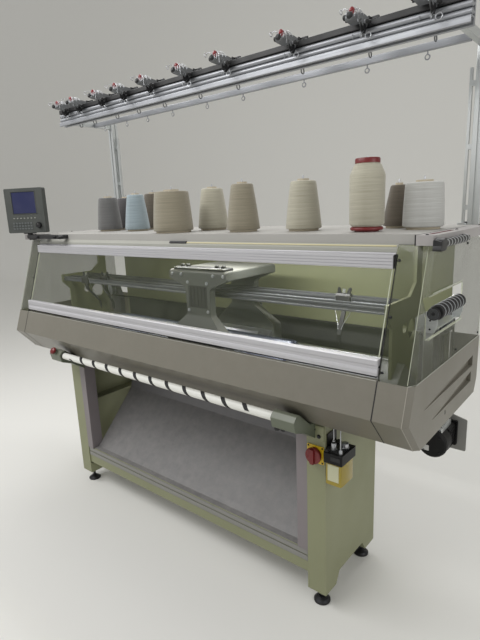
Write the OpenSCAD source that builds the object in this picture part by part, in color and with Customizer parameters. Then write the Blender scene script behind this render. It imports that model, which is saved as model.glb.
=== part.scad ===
// Flat knitting machine: two needle beds under a clear front window, a carriage that runs on
// two rails, a yarn table on top and a tension rail on posts above it.
// X runs along the machine, Y from its front to its back, Z up from the floor.

/* [Overall] */
// Length over the two end covers
body_length = 2500; // [2360:10:2700]
// Height of the front cover's top edge above the floor
cover_top = 1100; // [1060:5:1140]
// Depth of the end covers, from the front cover's top edge
body_depth = 757; // [740:1:780]
// Thickness of the sheet-metal covers
sheet = 3; // [2:0.5:4]
// Gap between neighbouring covers
cover_gap = 3; // [2:0.5:5]

/* [Front cover and end covers] */
// Width of each end cover along the machine
end_cover_width = 119; // [100:1:140]
// How far the crease stands in front of the top edge
crease_out = 42; // [30:1:50]
// Drop from the top edge to the crease
crease_drop = 122; // [110:1:130]
// Drop from the top edge to the bottom edge
cover_drop = 246; // [240:1:256]
// How far the bottom edge lies behind the top edge
bottom_back = 68; // [55:1:75]
// Width of the bevel at each outer front corner
corner_bevel = 18; // [12:1:26]
// Depth of the louvre scoops at their rear end
louvre_depth = 16; // [10:1:22]
// Height of the louvre scoops at their rear end
louvre_height = 44; // [30:1:46]

/* [Window] */
// Lean of the window pane from upright, in degrees
window_lean = 18; // [16:0.1:18.6]
// Thickness of the clear panes
pane = 4; // [3:0.5:5]
// Height of the window's hinge line above the front cover's top edge
hinge_rise = 398; // [385:1:404]
// Height of the window's top rail
top_rail_height = 46; // [36:1:54]
// Height of the window's bottom rail
bottom_rail_height = 56; // [44:1:64]

/* [Stands] */
// Distance from the machine's middle to each stand's outer face
stand_outer = 885; // [860:1:910]
// Width of each stand
stand_width = 85; // [75:1:110]
// Distance of the stands' front faces behind the front cover's top edge
stand_front = 100; // [92:1:112]
// Depth of each stand
stand_depth = 460; // [440:5:480]
// Wall of the stands
stand_wall = 6; // [5:0.5:10]
// Height of the levelling feet
foot_height = 60; // [50:1:75]
// Width of the trims beside the stands
trim_width = 50; // [40:1:56]

/* [Needle beds] */
// Length of the needle beds
bed_length = 1200; // [1150:10:1260]
// Height of the needle gap below the front cover's top edge
gap_drop = 5; // [0:1:12]
// Distance of the needle gap behind the front cover's top edge
gap_back = 320; // [316:1:324]
// Slope of each bed below level, in degrees
bed_slope = 40; // [39:0.5:41]
// Width of the needle gap
gap_width = 24; // [20:1:28]
// Depth of each bed down its slope
bed_depth = 160; // [150:1:164]
// Thickness of each bed
bed_thick = 24; // [20:1:26]
// Spacing of the comb teeth along the gap
comb_pitch = 12; // [10:0.5:16]

/* [Carriage] */
// Length of the carriage
carriage_length = 360; // [320:10:400]
// Width of the carriage's column
column_width = 150; // [120:5:180]
// Height of the carriage above the front cover's top edge
arch_rise = 298; // [292:1:306]
// Distance of the carriage from the machine's middle
carriage_x = 200; // [150:10:260]
// Distance of each carriage rail from the needle gap
rail_offset = 202; // [198:1:206]

/* [Yarn carriers] */
// Height of the yarn carrier rails' middle above the front cover's top edge
carrier_rise = 180; // [174:1:186]
// Distance of the inner carrier rails from the needle gap
inner_rail = 45; // [42:1:48]
// Distance of the outer carrier rails from the needle gap
outer_rail = 92; // [89:1:95]
// Length of the carrier rails
carrier_length = 2120; // [2080:10:2130]

/* [Yarn table and tension rail] */
// Height of the table top above the front cover's top edge
table_rise = 460; // [456:1:466]
// Height of the table's turned-down edge
table_edge = 32; // [28:1:33]
// Distance of the table's front edge behind the front cover's top edge
table_front = 150; // [146:1:154]
// Distance of the table's rear edge behind the front cover's top edge
table_back = 840; // [835:1:870]
// Height of the tension rail above the table top
rail_rise = 661; // [600:1:720]
// Distance of the tension rail behind the front cover's top edge
tension_back = 450; // [430:1:470]
// Distance of the guide rail behind the front cover's top edge
guide_back = 650; // [620:1:680]
// Distance of the overhead posts behind the front cover's top edge
post_back = 800; // [790:1:808]
// Distance of each overhead post from the machine's middle
post_x = 1190; // [1150:1:1195]
// Length of the tension rail
tension_length = 2470; // [2430:10:2480]

/* [Operating parts] */
// Diameter of the operating bar
bar_d = 36; // [30:1:40]
// Drop of the operating bar below the front cover's top edge
bar_drop = 215; // [213:1:219]
// How far the operating bar lies in front of the front cover's top edge
bar_out = 22; // [18:1:24]
// Diameter of the feed wheels
wheel_d = 50; // [40:1:54]
// Spacing of the feed wheels
wheel_pitch = 33; // [31:1:35]
// Diameter of the take-down rollers
roller_d = 50; // [44:1:52]
// Width of the controller
panel_w = 260; // [240:1:270]
// Height of the controller
panel_h = 262; // [240:1:280]
// Turn of the controller towards the operator, in degrees
panel_turn = 26; // [20:1:30]

/* [Hidden] */
$fn = 48;

// Clearances: between pieces that slide, in a shaft's running fit, at a seat, and on the bed base
slide_gap = 0.5;
run_gap = 0.05;
seat_gap = 0.3;
bed_gap = 0.05;

// Main planes and lines
half = body_length / 2;
seam_x = half - end_cover_width;
bottom_z = cover_top - cover_drop;
gap_z = cover_top - gap_drop;
table_z = cover_top + table_rise;
table_half = half - 50;
roof_z = table_z - table_edge - sheet;
hinge_z = cover_top + hinge_rise;
lean_run = tan(window_lean);
hinge_r = 4;
hinge_back = 2 + hinge_rise * lean_run + hinge_r;

// Bed base: a roof-shaped casting that the beds lie on
base_bottom = bottom_z + 6;
base_half = half - 150;
roof_apex = gap_z - bed_thick / cos(bed_slope) - bed_gap;
base_side = 160;
ledge_half = rail_offset + 22;
ledge_top = base_bottom + 40;
base_wall = 16;
stand_top = base_bottom;
stand_inner = stand_outer - stand_width;

// Carriage rails and the arch that runs on them
rail_head_z = cover_top - 90;
rail_head_h = 24;
rail_head_w = 30;
arch_top = cover_top + arch_rise;
arch_wall = 36;
leg_inner = rail_offset - 50;
column_inner = leg_inner - 8;
cam_lift = 2;

// Belt drive behind the rear rail
belt_back = gap_back + rail_offset + 70;
belt_w = 24;
belt_t = 4;
belt_z = cover_top + 50;
pulley_r = 34;
pulley_x = half - 150;
big_pulley_r = 52;
big_belt_back = body_depth - 40;
motor_x = half - 100;
motor_z = bottom_z - 189;
motor_pulley_r = 24;
motor_r = 60;
motor_front = 520;
motor_back = 690;
shaft_r = 10;

// Overhead rail
tension_z = table_z + rail_rise;
arm_z = tension_z + 26;
arm_half = 12;
unit_x = [-1150, -1000, -770, -570, -350, -80, 170, 530, 840, 1090];
guide_z = tension_z + 20;

// Controller, at the left front corner of the table
panel_x = -half + 95;
panel_y = table_front - 60;
panel_z = table_z + 12;
panel_t = 46;
tilt_z = panel_z + 14;
tilt_y = panel_y;

// Side feed unit, in the cut-out of the right end window
wheel_x = half - 5;
wheel_z = cover_top + 202;
wheel_front = 205;
wheel_count = 8;
cut_front = 92;
cut_back = wheel_front + (wheel_count - 1) * wheel_pitch + 34;
cut_low = wheel_z - 72;
cut_high = wheel_z + 66;

// End guide bar beside the table
guide_x = half + 26;
guide_ring_r = 13;

// Operating bar and the stop button on its left bracket
bar_y = -bar_out;
bar_z = cover_top - bar_drop;
button_tilt = 50.7;
button_seat = [bar_y - 21, bar_z + 19];
button_rim = [16, 27];

// Placing: the middle of the model's box lies over the origin
reach_left = -panel_x + panel_w / 2 * cos(panel_turn) + (panel_t / 2 - 12) * sin(panel_turn);
reach_right = guide_x + guide_ring_r;
reach_front = button_rim.x * cos(button_tilt) + button_rim.y * sin(button_tilt) - button_seat.x;
reach_back = table_back;
mid_x = (reach_right - reach_left) / 2;
mid_y = (reach_back - reach_front) / 2;

module seat() translate([-mid_x, -mid_y, 0]) children();

// Outline helpers: a corner rounded to radius r, a whole outline rounded, and a bent sheet
function unit(v) = v / norm(v);
function corner(a, b, c, r, n) =
    let (u = unit(a - b), v = unit(c - b), half_angle = acos(u * v) / 2,
         centre = b + unit(u + v) * r / sin(half_angle),
         p = b + u * r / tan(half_angle), q = b + v * r / tan(half_angle),
         start = atan2(p.y - centre.y, p.x - centre.x),
         end = atan2(q.y - centre.y, q.x - centre.x),
         sweep = (end - start + 900) % 360 - 180)
    [for (i = [0:n]) centre + r * [cos(start + sweep * i / n), sin(start + sweep * i / n)]];
function rounded(p, r, n = 4) =
    [for (i = [0:len(p) - 1])
        each corner(p[(i + len(p) - 1) % len(p)], p[i], p[(i + 1) % len(p)],
            is_list(r) ? r[i] : r, n)];
function box_outline(x0, y0, x1, y1) = [[x0, y0], [x1, y0], [x1, y1], [x0, y1]];
function normal(a, b) = let (d = unit(b - a)) [-d.y, d.x];
function mitre(p, i, t) =
    i == 0 ? p[0] + t * normal(p[0], p[1]) :
    i == len(p) - 1 ? p[i] + t * normal(p[i - 1], p[i]) :
    let (a = normal(p[i - 1], p[i]), b = normal(p[i], p[i + 1]), m = unit(a + b))
    p[i] + m * t / (m * a);
function bent(p, t) = concat(p, [for (i = [len(p) - 1:-1:0]) mitre(p, i, t)]);

// Extrusions: an outline of [Y, Z] points along X, of [X, Z] points along Y
module along_x(x0, x1) translate([x0, 0, 0]) rotate([90, 0, 90]) linear_extrude(x1 - x0) children();
module along_y(y0, y1) translate([0, y1, 0]) rotate([90, 0, 0]) linear_extrude(y1 - y0) children();
module rod_y(x, z, r, y0, y1) translate([x, y1, z]) rotate([90, 0, 0]) cylinder(r = r, h = y1 - y0);
module rod_x(y, z, r, x0, x1) translate([x0, y, z]) rotate([0, 90, 0]) cylinder(r = r, h = x1 - x0);
module both_ends() {
    children();
    mirror([1, 0, 0]) children();
}

// Front line of the covers, from the top edge over the crease to the bottom edge, set in by d
function front_line(d) = let (p = [[0, cover_top], [-crease_out, cover_top - crease_drop],
    [bottom_back, bottom_z]]) [for (i = [0:2]) mitre(p, i, d)];
// Where the window's outer face lies at height z
function lean_y(z) = 2 + (z - cover_top) * lean_run;
// Height of the bed base's roof at distance y from the gap
function roof_at(y) = roof_apex - y * tan(bed_slope);
// A point v down the front bed's slope and w above its face
function on_bed(v, w) = [gap_back - gap_width / 2 - v * cos(bed_slope) - w * sin(bed_slope),
    gap_z - (v + gap_width / 2 / cos(bed_slope)) * sin(bed_slope) + w * cos(bed_slope)];

module stand() {
    foot_y = [stand_front + 45, stand_front + stand_depth - 45];
    difference() {
        along_x(stand_inner, stand_outer)
            polygon(rounded([[stand_front, foot_height + 8], [stand_front + 90, foot_height + 8],
                [stand_front + 120, foot_height + 60],
                [stand_front + stand_depth - 120, foot_height + 60],
                [stand_front + stand_depth - 90, foot_height + 8],
                [stand_front + stand_depth, foot_height + 8],
                [stand_front + stand_depth, stand_top], [stand_front, stand_top]],
                [6, 4, 16, 16, 4, 6, 6, 6]));
        along_x(stand_inner - 1, stand_outer - stand_wall)
            polygon(rounded(box_outline(stand_front + stand_wall, foot_height + 60 + stand_wall,
                stand_front + stand_depth - stand_wall, stand_top - stand_wall * 2), 12));
        for (y = foot_y) translate([stand_inner + stand_width / 2, y, foot_height])
            cylinder(r = 8.3, h = 70);
    }
    // stiffening rib across the open inner side
    along_x(stand_inner + 8, stand_outer - stand_wall)
        polygon(box_outline(stand_front + stand_wall, stand_top - 330,
            stand_front + stand_depth - stand_wall, stand_top - 330 + stand_wall));
}

module left_stand() color("darkkhaki") mirror([1, 0, 0]) stand();
module right_stand() color("darkkhaki") stand();

// Angle-section trims between each stand and the fabric opening
module stand_trims() color("rosybrown") both_ends()
    translate([0, 0, foot_height + 190 + seat_gap]) linear_extrude(bottom_z - 208 - foot_height)
        polygon(bent([[stand_inner - trim_width, stand_front + 70],
            [stand_inner - trim_width, stand_front], [stand_inner - seat_gap, stand_front]], sheet));

module lower_beam(y) along_x(-stand_inner, stand_inner) difference() {
    polygon(rounded(box_outline(y, foot_height + 80, y + 50, foot_height + 190), 8));
    polygon(rounded(box_outline(y + 5, foot_height + 85, y + 45, foot_height + 185), 4));
}
module lower_beams() color("darkkhaki") {
    lower_beam(stand_front + stand_wall);
    lower_beam(stand_front + stand_depth - 50 - stand_wall);
}

module levelling_feet() color("dimgray") both_ends()
    for (y = [stand_front + 45, stand_front + stand_depth - 45])
        translate([stand_inner + stand_width / 2, y, 0]) {
            rotate_extrude() polygon([[0, 0], [34, 0], [34, 6], [26, 14], [14, 20], [14, 24],
                [8, 24], [8, foot_height + 40], [0, foot_height + 40]]);
            // lock nut under the stand
            translate([0, 0, foot_height - 8]) difference() {
                cylinder(r = 14, h = 16, $fn = 6);
                translate([0, 0, -1]) cylinder(r = 8.3, h = 18);
            }
        }

module bed_base() color("gray") {
    difference() {
        along_x(-base_half, base_half) polygon([
            [gap_back - ledge_half, base_bottom], [gap_back + ledge_half, base_bottom],
            [gap_back + ledge_half, ledge_top], [gap_back + base_side, ledge_top],
            [gap_back + base_side, roof_at(base_side)], [gap_back, roof_apex],
            [gap_back - base_side, roof_at(base_side)], [gap_back - base_side, ledge_top],
            [gap_back - ledge_half, ledge_top]]);
        // hollow casting, with a web at each end and one in the middle
        for (s = [-1, 1]) translate([s * (base_half / 2), 0, 0])
            along_x(-base_half / 2 + base_wall, base_half / 2 - base_wall) polygon([
                [gap_back - base_side + base_wall, base_bottom - 1],
                [gap_back + base_side - base_wall, base_bottom - 1],
                [gap_back + base_side - base_wall, roof_at(base_side) - base_wall],
                [gap_back, roof_apex - base_wall * 1.4],
                [gap_back - base_side + base_wall, roof_at(base_side) - base_wall]]);
        // slot that the fabric falls through
        translate([-bed_length / 2 - 20, gap_back - gap_width / 2, base_bottom - 1])
            cube([bed_length + 40, gap_width, 400]);
    }
}

// One bed, lying level with its gap edge at y = 0 and its face at z = 0
module needle_bed() {
    teeth = floor(bed_length / comb_pitch + 0.01);
    first = -teeth * comb_pitch / 2;
    difference() {
        translate([0, 0, -bed_thick]) linear_extrude(bed_thick) polygon(concat(
            [for (i = [0:teeth - 1]) each [
                [first + i * comb_pitch, 9], [first + i * comb_pitch, 0],
                [first + (i + 0.5) * comb_pitch, 0], [first + (i + 0.5) * comb_pitch, 9]]],
            [[bed_length / 2, 9], [bed_length / 2, bed_depth], [-bed_length / 2, bed_depth],
             [-bed_length / 2, 9]]));
        // seats of the bands that hold the needles down
        for (v = [38, bed_depth - 40])
            translate([-bed_length / 2 - 1, v, -3]) cube([bed_length + 2, 12, 4]);
    }
}
// The bed in its place, with its nose cut off upright along the gap
module rear_bed() difference() {
    translate([0, 2 * gap_back - on_bed(0, 0).x, on_bed(0, 0).y]) rotate([-bed_slope, 0, 0])
        needle_bed();
    translate([-bed_length, gap_back - 40, gap_z - 100])
        cube([bed_length * 2, 40 + gap_width / 2, 120]);
}
module front_needle_bed() color("slategray") translate([0, 2 * gap_back, 0]) mirror([0, 1, 0]) rear_bed();
module rear_needle_bed() color("slategray") rear_bed();

function rail_outline() = [[-20, ledge_top], [20, ledge_top], [20, ledge_top + 8], [8, ledge_top + 14],
    [8, rail_head_z - rail_head_h], [rail_head_w / 2, rail_head_z - rail_head_h + 5],
    [rail_head_w / 2, rail_head_z - 3], [rail_head_w / 2 - 3, rail_head_z],
    [3 - rail_head_w / 2, rail_head_z], [-rail_head_w / 2, rail_head_z - 3],
    [-rail_head_w / 2, rail_head_z - rail_head_h + 5], [-8, rail_head_z - rail_head_h],
    [-8, ledge_top + 14], [-20, ledge_top + 8]];
module carriage_rails() color("silver") for (s = [-1, 1])
    translate([0, gap_back + s * rail_offset, 0])
        along_x(-carrier_length / 2 + 2, carrier_length / 2 - 2) polygon(rail_outline());

// Carrier rail: an I-shaped bar that the yarn feeders straddle
function carrier_outline(d) = [[-6 - d, 13 + d], [-6 - d, 6 - d], [-3 - d, 3 - d], [-3 - d, -3 + d],
    [-6 - d, -6 + d], [-6 - d, -13 - d], [6 + d, -13 - d], [6 + d, -6 + d], [3 + d, -3 + d],
    [3 + d, 3 - d], [6 + d, 6 - d], [6 + d, 13 + d]];
carrier_z = cover_top + carrier_rise;
module yarn_carrier_rails() color("lightgray") for (y = [-outer_rail, -inner_rail, inner_rail, outer_rail])
    translate([0, gap_back + y, carrier_z])
        along_x(-carrier_length / 2, carrier_length / 2) polygon(carrier_outline(0));

// Side plates on the bed base: they hold the carrier rails and, at the rear, the roof
module carrier_rail_brackets() color("dimgray") both_ends()
    translate([0, gap_back, 0]) along_x(carrier_length / 2 + bed_gap, carrier_length / 2 + 12) difference() {
        back = ledge_half - 2;
        polygon([
            [-outer_rail - 16, carrier_z + 24], [-outer_rail - 16, carrier_z - 20],
            [-60, carrier_z - 70], [-60, roof_at(60) + bed_gap], [0, roof_apex + bed_gap],
            [base_side + 1, roof_at(base_side + 1) + bed_gap], [base_side + 1, ledge_top + bed_gap],
            [back, ledge_top + bed_gap], [back, roof_z - seat_gap], [back - 56, roof_z - seat_gap],
            [back - 56, carrier_z + 70], [outer_rail + 16, carrier_z + 24]]);
        translate([base_side - 20, carrier_z - 110]) circle(r = 44);
        translate([60, carrier_z - 90]) circle(r = 22);
    }

module fabric_chute() color("dimgray") along_x(-stand_inner + trim_width + 1, stand_inner - trim_width - 1)
    polygon(bent([[gap_back + 168, base_bottom - seat_gap - 2], [gap_back + 110, bottom_z - 300],
        [stand_front + 62, foot_height + 210], [stand_front + 40, foot_height + 190 + seat_gap],
        [stand_front + 10, foot_height + 190 + seat_gap]], -2));

module front_cover() color("gray")
    along_x(-seam_x, seam_x) polygon(bent(concat([[26, cover_top - 6], [20, cover_top]],
        front_line(0), [[gap_back - ledge_half - seat_gap, base_bottom],
        [gap_back - ledge_half - seat_gap, ledge_top - 4]]), sheet));

// Body of an end cover, set in by d from its outer faces: bevelled along its front corner, over
// the crease, and chamfered at the heel
module end_form(d) {
    top = cover_top + (d > 0 ? 1 : 0);
    low = bottom_z + d;
    back = body_depth - d;
    x = [seam_x + cover_gap - (d > 0 ? 1 : 0), half - d - corner_bevel, half - d];
    p = front_line(d);
    upper = (p[0].x - p[1].x) / (p[0].y - p[1].y);
    lower = (p[2].x - p[1].x) / (p[2].y - p[1].y);
    front = [[p[1].x + (top - p[1].y) * upper, top], p[1], [p[1].x + (low - p[1].y) * lower, low]];
    rear = [[back - 30, low], [back, bottom_z + 60], [back, top]];
    polyhedron(concat([for (q = concat(front, rear)) [x[0], q.x, q.y]],
        [for (q = front) [x[1], q.x, q.y]],
        [for (q = front) [x[2], q.x + corner_bevel, q.y]], [for (q = rear) [x[2], q.x, q.y]]),
        [[0, 1, 2, 3, 4, 5], [14, 13, 12, 11, 10, 9], [0, 6, 7, 1], [1, 7, 8, 2], [6, 9, 10, 7],
            [7, 10, 11, 8], [2, 8, 11, 12, 3], [3, 12, 13, 4], [4, 13, 14, 5], [5, 14, 9, 6, 0]]);
}
// Scoop of a louvre from y0 to y1, its level lower edge at height z: a long wedge that deepens
// and widens to the rear, grown by d for its wall
module louvre(y0, y1, z, d) intersection() {
    along_x(half - louvre_depth - d, half + 1)
        polygon([[y0 - d * 4, z - d], [y1 + d, z - d], [y1 + d, z + louvre_height + d],
            [y0 - d * 4, z + 4 + d]]);
    translate([0, 0, z - louvre_height]) linear_extrude(louvre_height * 3)
        polygon([[half + 1, y0 - d * 4], [half + 1, y1 + d], [half - louvre_depth - d, y1 + d],
            [half - (d > 0 ? d - 1 : 0.8), y0 - d * 4]]);
}
louvre_back = body_depth - 82;
module end_cover() {
    difference() {
        union() {
            difference() {
                end_form(0);
                end_form(sheet);
            }
            intersection() {
                end_form(0);
                union() {
                    louvre(112, louvre_back, cover_top - 112, sheet);
                    louvre(200, louvre_back - 12, cover_top - 178, sheet);
                }
            }
        }
        louvre(112, louvre_back, cover_top - 112, 0);
        louvre(200, louvre_back - 12, cover_top - 178, 0);
        // open underside inside a narrow flange
        along_x(seam_x, half - sheet - 12) polygon(box_outline(bottom_back + 30, bottom_z - 1,
            body_depth - 26, bottom_z + sheet + 12));
        // lock slot below the louvres
        along_x(half - sheet - 1, half + 1) translate([337, cover_top - 200])
            polygon(rounded(box_outline(-5, -9, 5, 9), 4));
    }
}
module left_end_cover() color("gray") mirror([1, 0, 0]) end_cover();
module right_end_cover() color("gray") end_cover();

// Clear end cover: one sheet bent round the corner, leaning at the front
module end_window() {
    low = cover_top + seat_gap;
    high = roof_z - seat_gap;
    intersection() {
        translate([0, lean_y(low), low]) rotate([-window_lean, 0, 0]) translate([0, 0, -300])
            linear_extrude(900) polygon(bent([[seam_x + cover_gap, 0], [half - corner_bevel - 2, 0],
                [half - 2, corner_bevel], [half - 2, 1200]], pane));
        along_x(seam_x, half) polygon([[lean_y(low) - 30, low], [body_depth - 6, low],
            [body_depth - 6, high], [lean_y(high) - 30, high]]);
    }
}
module left_end_window() color([0.75, 0.78, 0.66, 0.5]) mirror([1, 0, 0]) end_window();
module right_end_window() color([0.75, 0.78, 0.66, 0.5]) difference() {
    end_window();
    along_x(half - 60, half + 1) polygon(rounded(box_outline(cut_front, cut_low, cut_back, cut_high), 10));
}

module rear_cover() color("gray") along_x(-seam_x, seam_x)
    polygon(bent([[body_depth - 24, bottom_z + 12], [body_depth, bottom_z + 12],
        [body_depth, roof_z - seat_gap], [body_depth - 20, roof_z - seat_gap]], sheet));

// Header: the fixed strip above the window and the roof under the yarn table
module header_cover() color("lightgray") {
    along_x(-half + 6, half - 6) polygon(box_outline(table_front + 2, roof_z, body_depth, roof_z + sheet));
    along_x(-seam_x, seam_x) polygon(bent([[table_front + 40, roof_z], [table_front, roof_z],
        [hinge_back + 1, roof_z - 12], [hinge_back + 1, hinge_z + hinge_r + seat_gap]], -sheet));
}

module yarn_table() color("lightgray") difference() {
    translate([0, 0, table_z - table_edge]) linear_extrude(table_edge)
        polygon(rounded(box_outline(-table_half, table_front, table_half, table_back), 6));
    translate([0, 0, table_z - table_edge - 1]) linear_extrude(table_edge + 1 - sheet)
        polygon(box_outline(-table_half + sheet, table_front + sheet,
            table_half - sheet, table_back - sheet));
}

// End pieces: folded plates that close the housing beside the table
module table_end_pieces() color("lightgray") both_ends() difference() {
    translate([0, 0, table_z - table_edge]) linear_extrude(table_edge)
        polygon(rounded([[table_half + 1, table_front - 46], [half + 6, table_front - 46],
            [half + 12, table_front - 34], [half + 12, body_depth], [table_half + 1, body_depth]],
            [2, 4, 4, 3, 2]));
    translate([0, 0, table_z - table_edge - 1]) linear_extrude(table_edge + 1 - sheet)
        polygon(box_outline(table_half + 1 + sheet, table_front - 40, half + 12 - sheet,
            body_depth - sheet));
    translate([table_half + 22, table_front + 6, table_z - 1]) cube([12, 220, 2]);
}

// Row of guide rings on a bar at the right end of the table
ring_front = table_front - 22;
ring_pitch = 30;
guide_bar_z = table_z - 26;
module end_guide_bar() color("dimgray") {
    rod_y(guide_x, guide_bar_z, 7, ring_front - 24, ring_front + ring_pitch * 7 + 30);
    for (i = [0:7]) rod_y(guide_x, guide_bar_z, guide_ring_r, ring_front + i * ring_pitch,
        ring_front + i * ring_pitch + 18);
    // wedge-shaped cap at the front end and a lug at the rear
    translate([0, ring_front - 24, 0]) rotate([90, 0, 0]) linear_extrude(24)
        polygon(rounded([[half + 12, guide_bar_z + 14], [half + 12, guide_bar_z - 12],
            [half + 38, guide_bar_z - 8], [half + 38, guide_bar_z + 8]], 3));
    along_y(ring_front + ring_pitch * 7 + 30, ring_front + ring_pitch * 7 + 44)
        polygon(rounded([[half + 12, guide_bar_z + 14], [half + 12, guide_bar_z - 12],
            [half + 36, guide_bar_z - 8], [half + 36, guide_bar_z + 8]], 3));
}

// Posts with a foot plate, a grooved main profile, a thin rear bar and an arm to the rails
module overhead_post() {
    translate([0, 0, table_z + bed_gap]) linear_extrude(rail_rise + 60) difference() {
        polygon(rounded(box_outline(post_x - 24, post_back - 24, post_x + 24, post_back + 24), 3));
        for (s = [-1, 1]) {
            polygon(box_outline(post_x + s * 24 - 5, post_back - 5, post_x + s * 24 + 5, post_back + 5));
            polygon(box_outline(post_x - 5, post_back + s * 24 - 5, post_x + 5, post_back + s * 24 + 5));
        }
        polygon(box_outline(post_x - 12, post_back - 12, post_x + 12, post_back + 12));
    }
    translate([0, 0, table_z + bed_gap]) linear_extrude(8)
        polygon(rounded(box_outline(post_x - 60, post_back - 34, post_x - 24, post_back + 34), 5));
    translate([0, 0, table_z + 8]) linear_extrude(rail_rise - 60)
        polygon(box_outline(post_x - 50, post_back - 8, post_x - 40, post_back + 8));
    for (h = [60, 300, 540]) translate([post_x - 50, post_back - 8, table_z + h]) cube([30, 16, 20]);
    // arm that carries the two rails
    along_x(post_x - arm_half, post_x + arm_half) polygon(rounded([
        [tension_back + 24, arm_z - 16], [post_back - 24, arm_z - 16],
        [post_back - 24, arm_z + 26], [post_back - 60, arm_z + 16], [tension_back + 24, arm_z + 16]],
        [1, 1, 1, 12, 4]));
}
module overhead_posts() color("silver") both_ends() overhead_post();

// Tension rail: a web with two round beads in front and a hollow flange below
module tension_rail() color("silver") along_x(-tension_length / 2, tension_length / 2) {
    polygon(box_outline(tension_back + 12, tension_z, tension_back + 24, tension_z + 98));
    polygon(box_outline(tension_back - 4, tension_z + 34, tension_back + 13, tension_z + 42));
    polygon(box_outline(tension_back - 4, tension_z + 58, tension_back + 13, tension_z + 66));
    translate([tension_back - 8, tension_z + 38]) circle(r = 11);
    translate([tension_back - 8, tension_z + 62]) circle(r = 11);
    difference() {
        polygon(rounded(box_outline(tension_back - 26, tension_z, tension_back + 13, tension_z + 26),
            [4, 0.5, 0.5, 6]));
        polygon(box_outline(tension_back - 20, tension_z - 1, tension_back + 6, tension_z + 20));
    }
}
module wiring_duct() color([0.12, 0.12, 0.13]) along_x(-tension_length / 2, tension_length / 2)
    polygon(rounded(box_outline(tension_back - 20, tension_z + 74.3, tension_back + 11.7, tension_z + 98), 3));

// Guide rail with hanging eyes, behind the tension rail
module guide_rail() color("silver") {
    along_x(-post_x + arm_half + seat_gap, post_x - arm_half - seat_gap)
        polygon(rounded(box_outline(guide_back - 9, guide_z - 14, guide_back + 9, guide_z + 14), 2));
    for (x = unit_x) if (abs(x - 70) < post_x - 40) translate([x - 70, guide_back, guide_z - 14]) {
        translate([0, 0, -14]) cylinder(r = 2.5, h = 15);
        translate([0, 0, -22]) rotate([90, 0, 0]) rotate_extrude() translate([9, 0]) circle(r = 2.6);
    }
}

// Yarn tension unit: saddle on the rail, side plate, disc pair, knot catcher and exit eye
module tension_unit() {
    top = tension_z + 98;
    // saddle over the duct
    along_x(-22, 22) polygon(rounded([[tension_back - 34, top + 0.3], [tension_back + 30, top + 0.3],
        [tension_back + 30, top + 16], [tension_back - 20, top + 22], [tension_back - 60, top + 18],
        [tension_back - 92, top + 6], [tension_back - 88, top - 8], [tension_back - 34, top - 12]],
        [1, 4, 5, 6, 10, 6, 6, 3]));
    // side plate with the tension discs
    translate([22, 0, 0]) along_x(0, 4) polygon(rounded([[tension_back - 86, top + 8],
        [tension_back - 36, top - 58], [tension_back - 28, top - 58], [tension_back - 28, top + 14]],
        [6, 8, 3, 4]));
    for (y = [tension_back - 56, tension_back - 40]) {
        rod_x(y, top - 16, 3, 26, 44);
        rod_x(y, top - 16, 14, 28, 31);
        rod_x(y, top - 16, 14, 33, 36);
        rod_x(y, top - 16, 6, 40, 46);
    }
    // rear housing behind the rail, with the exit eye below it
    along_x(-20, 20) polygon(rounded([[tension_back + 25, top + 12], [tension_back + 62, top + 4],
        [tension_back + 74, top - 34], [tension_back + 60, top - 62], [tension_back + 25, top - 50]],
        [3, 12, 12, 10, 4]));
    rod_y(0, top - 20, 13, tension_back + 70, tension_back + 84);
    translate([0, tension_back + 66, top - 60]) rotate([0, 0, 0]) {
        rotate([30, 0, 0]) translate([0, 0, -22]) cylinder(r = 2.2, h = 30);
        translate([0, 11, -30]) rotate([90, 0, 90]) rotate_extrude() translate([11, 0]) circle(r = 2.6);
    }
}
module tension_units() color("gray") for (x = unit_x) translate([x, 0, 0]) tension_unit();

module lamp_caps() color("red") for (x = unit_x)
    translate([x, tension_back - 74, tension_z + 98 + 12.75 + seat_gap]) rotate([atan(12 / 32), 0, 0]) rotate_extrude()
        polygon([[0, 0], [11, 0], [11, 16], [8, 22], [3, 25], [0, 25]]);

// Window: pane, hinge rail and handle rail
pane_low = cover_top + 36;
pane_high = hinge_z - 24;
module window_pane() color([0.8, 0.83, 0.72, 0.4]) along_x(-seam_x + 8, seam_x - 8)
    polygon(bent([[lean_y(pane_low), pane_low], [lean_y(pane_high), pane_high]], -pane));
rail_in = 3;
// Groove that the pane sits in, from height z0 to z1
function groove(z0, z1) = let (line = [[lean_y(z0), z0], [lean_y(z1), z1]])
    bent([for (i = [0:1]) mitre(line, i, 0.2)], -pane - 0.4);
module window_top_rail() color("lightgray") {
    rod_x(hinge_back, hinge_z, hinge_r, -seam_x + rail_in, seam_x - rail_in);
    top = hinge_z - 1;
    low = top - top_rail_height;
    x = seam_x - rail_in;
    difference() {
        along_x(-x, x) polygon(concat([[hinge_back + 2, top], [lean_y(low) + 2, top]],
            [for (i = [0:3]) each [[lean_y(low) - 6, top - 3 - i * 10.5], [lean_y(low) - 6, top - 11 - i * 10.5],
                [lean_y(low) - 4, top - 12 - i * 10.5], [lean_y(low) - 4, top - 13 - i * 10.5]]],
            [[lean_y(low) - 4, low], [lean_y(low) + 12, low], [hinge_back + 2, low + 12]]));
        along_x(-seam_x + 7, seam_x - 7) polygon(groove(low - 20, pane_high + 0.6));
    }
}
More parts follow.
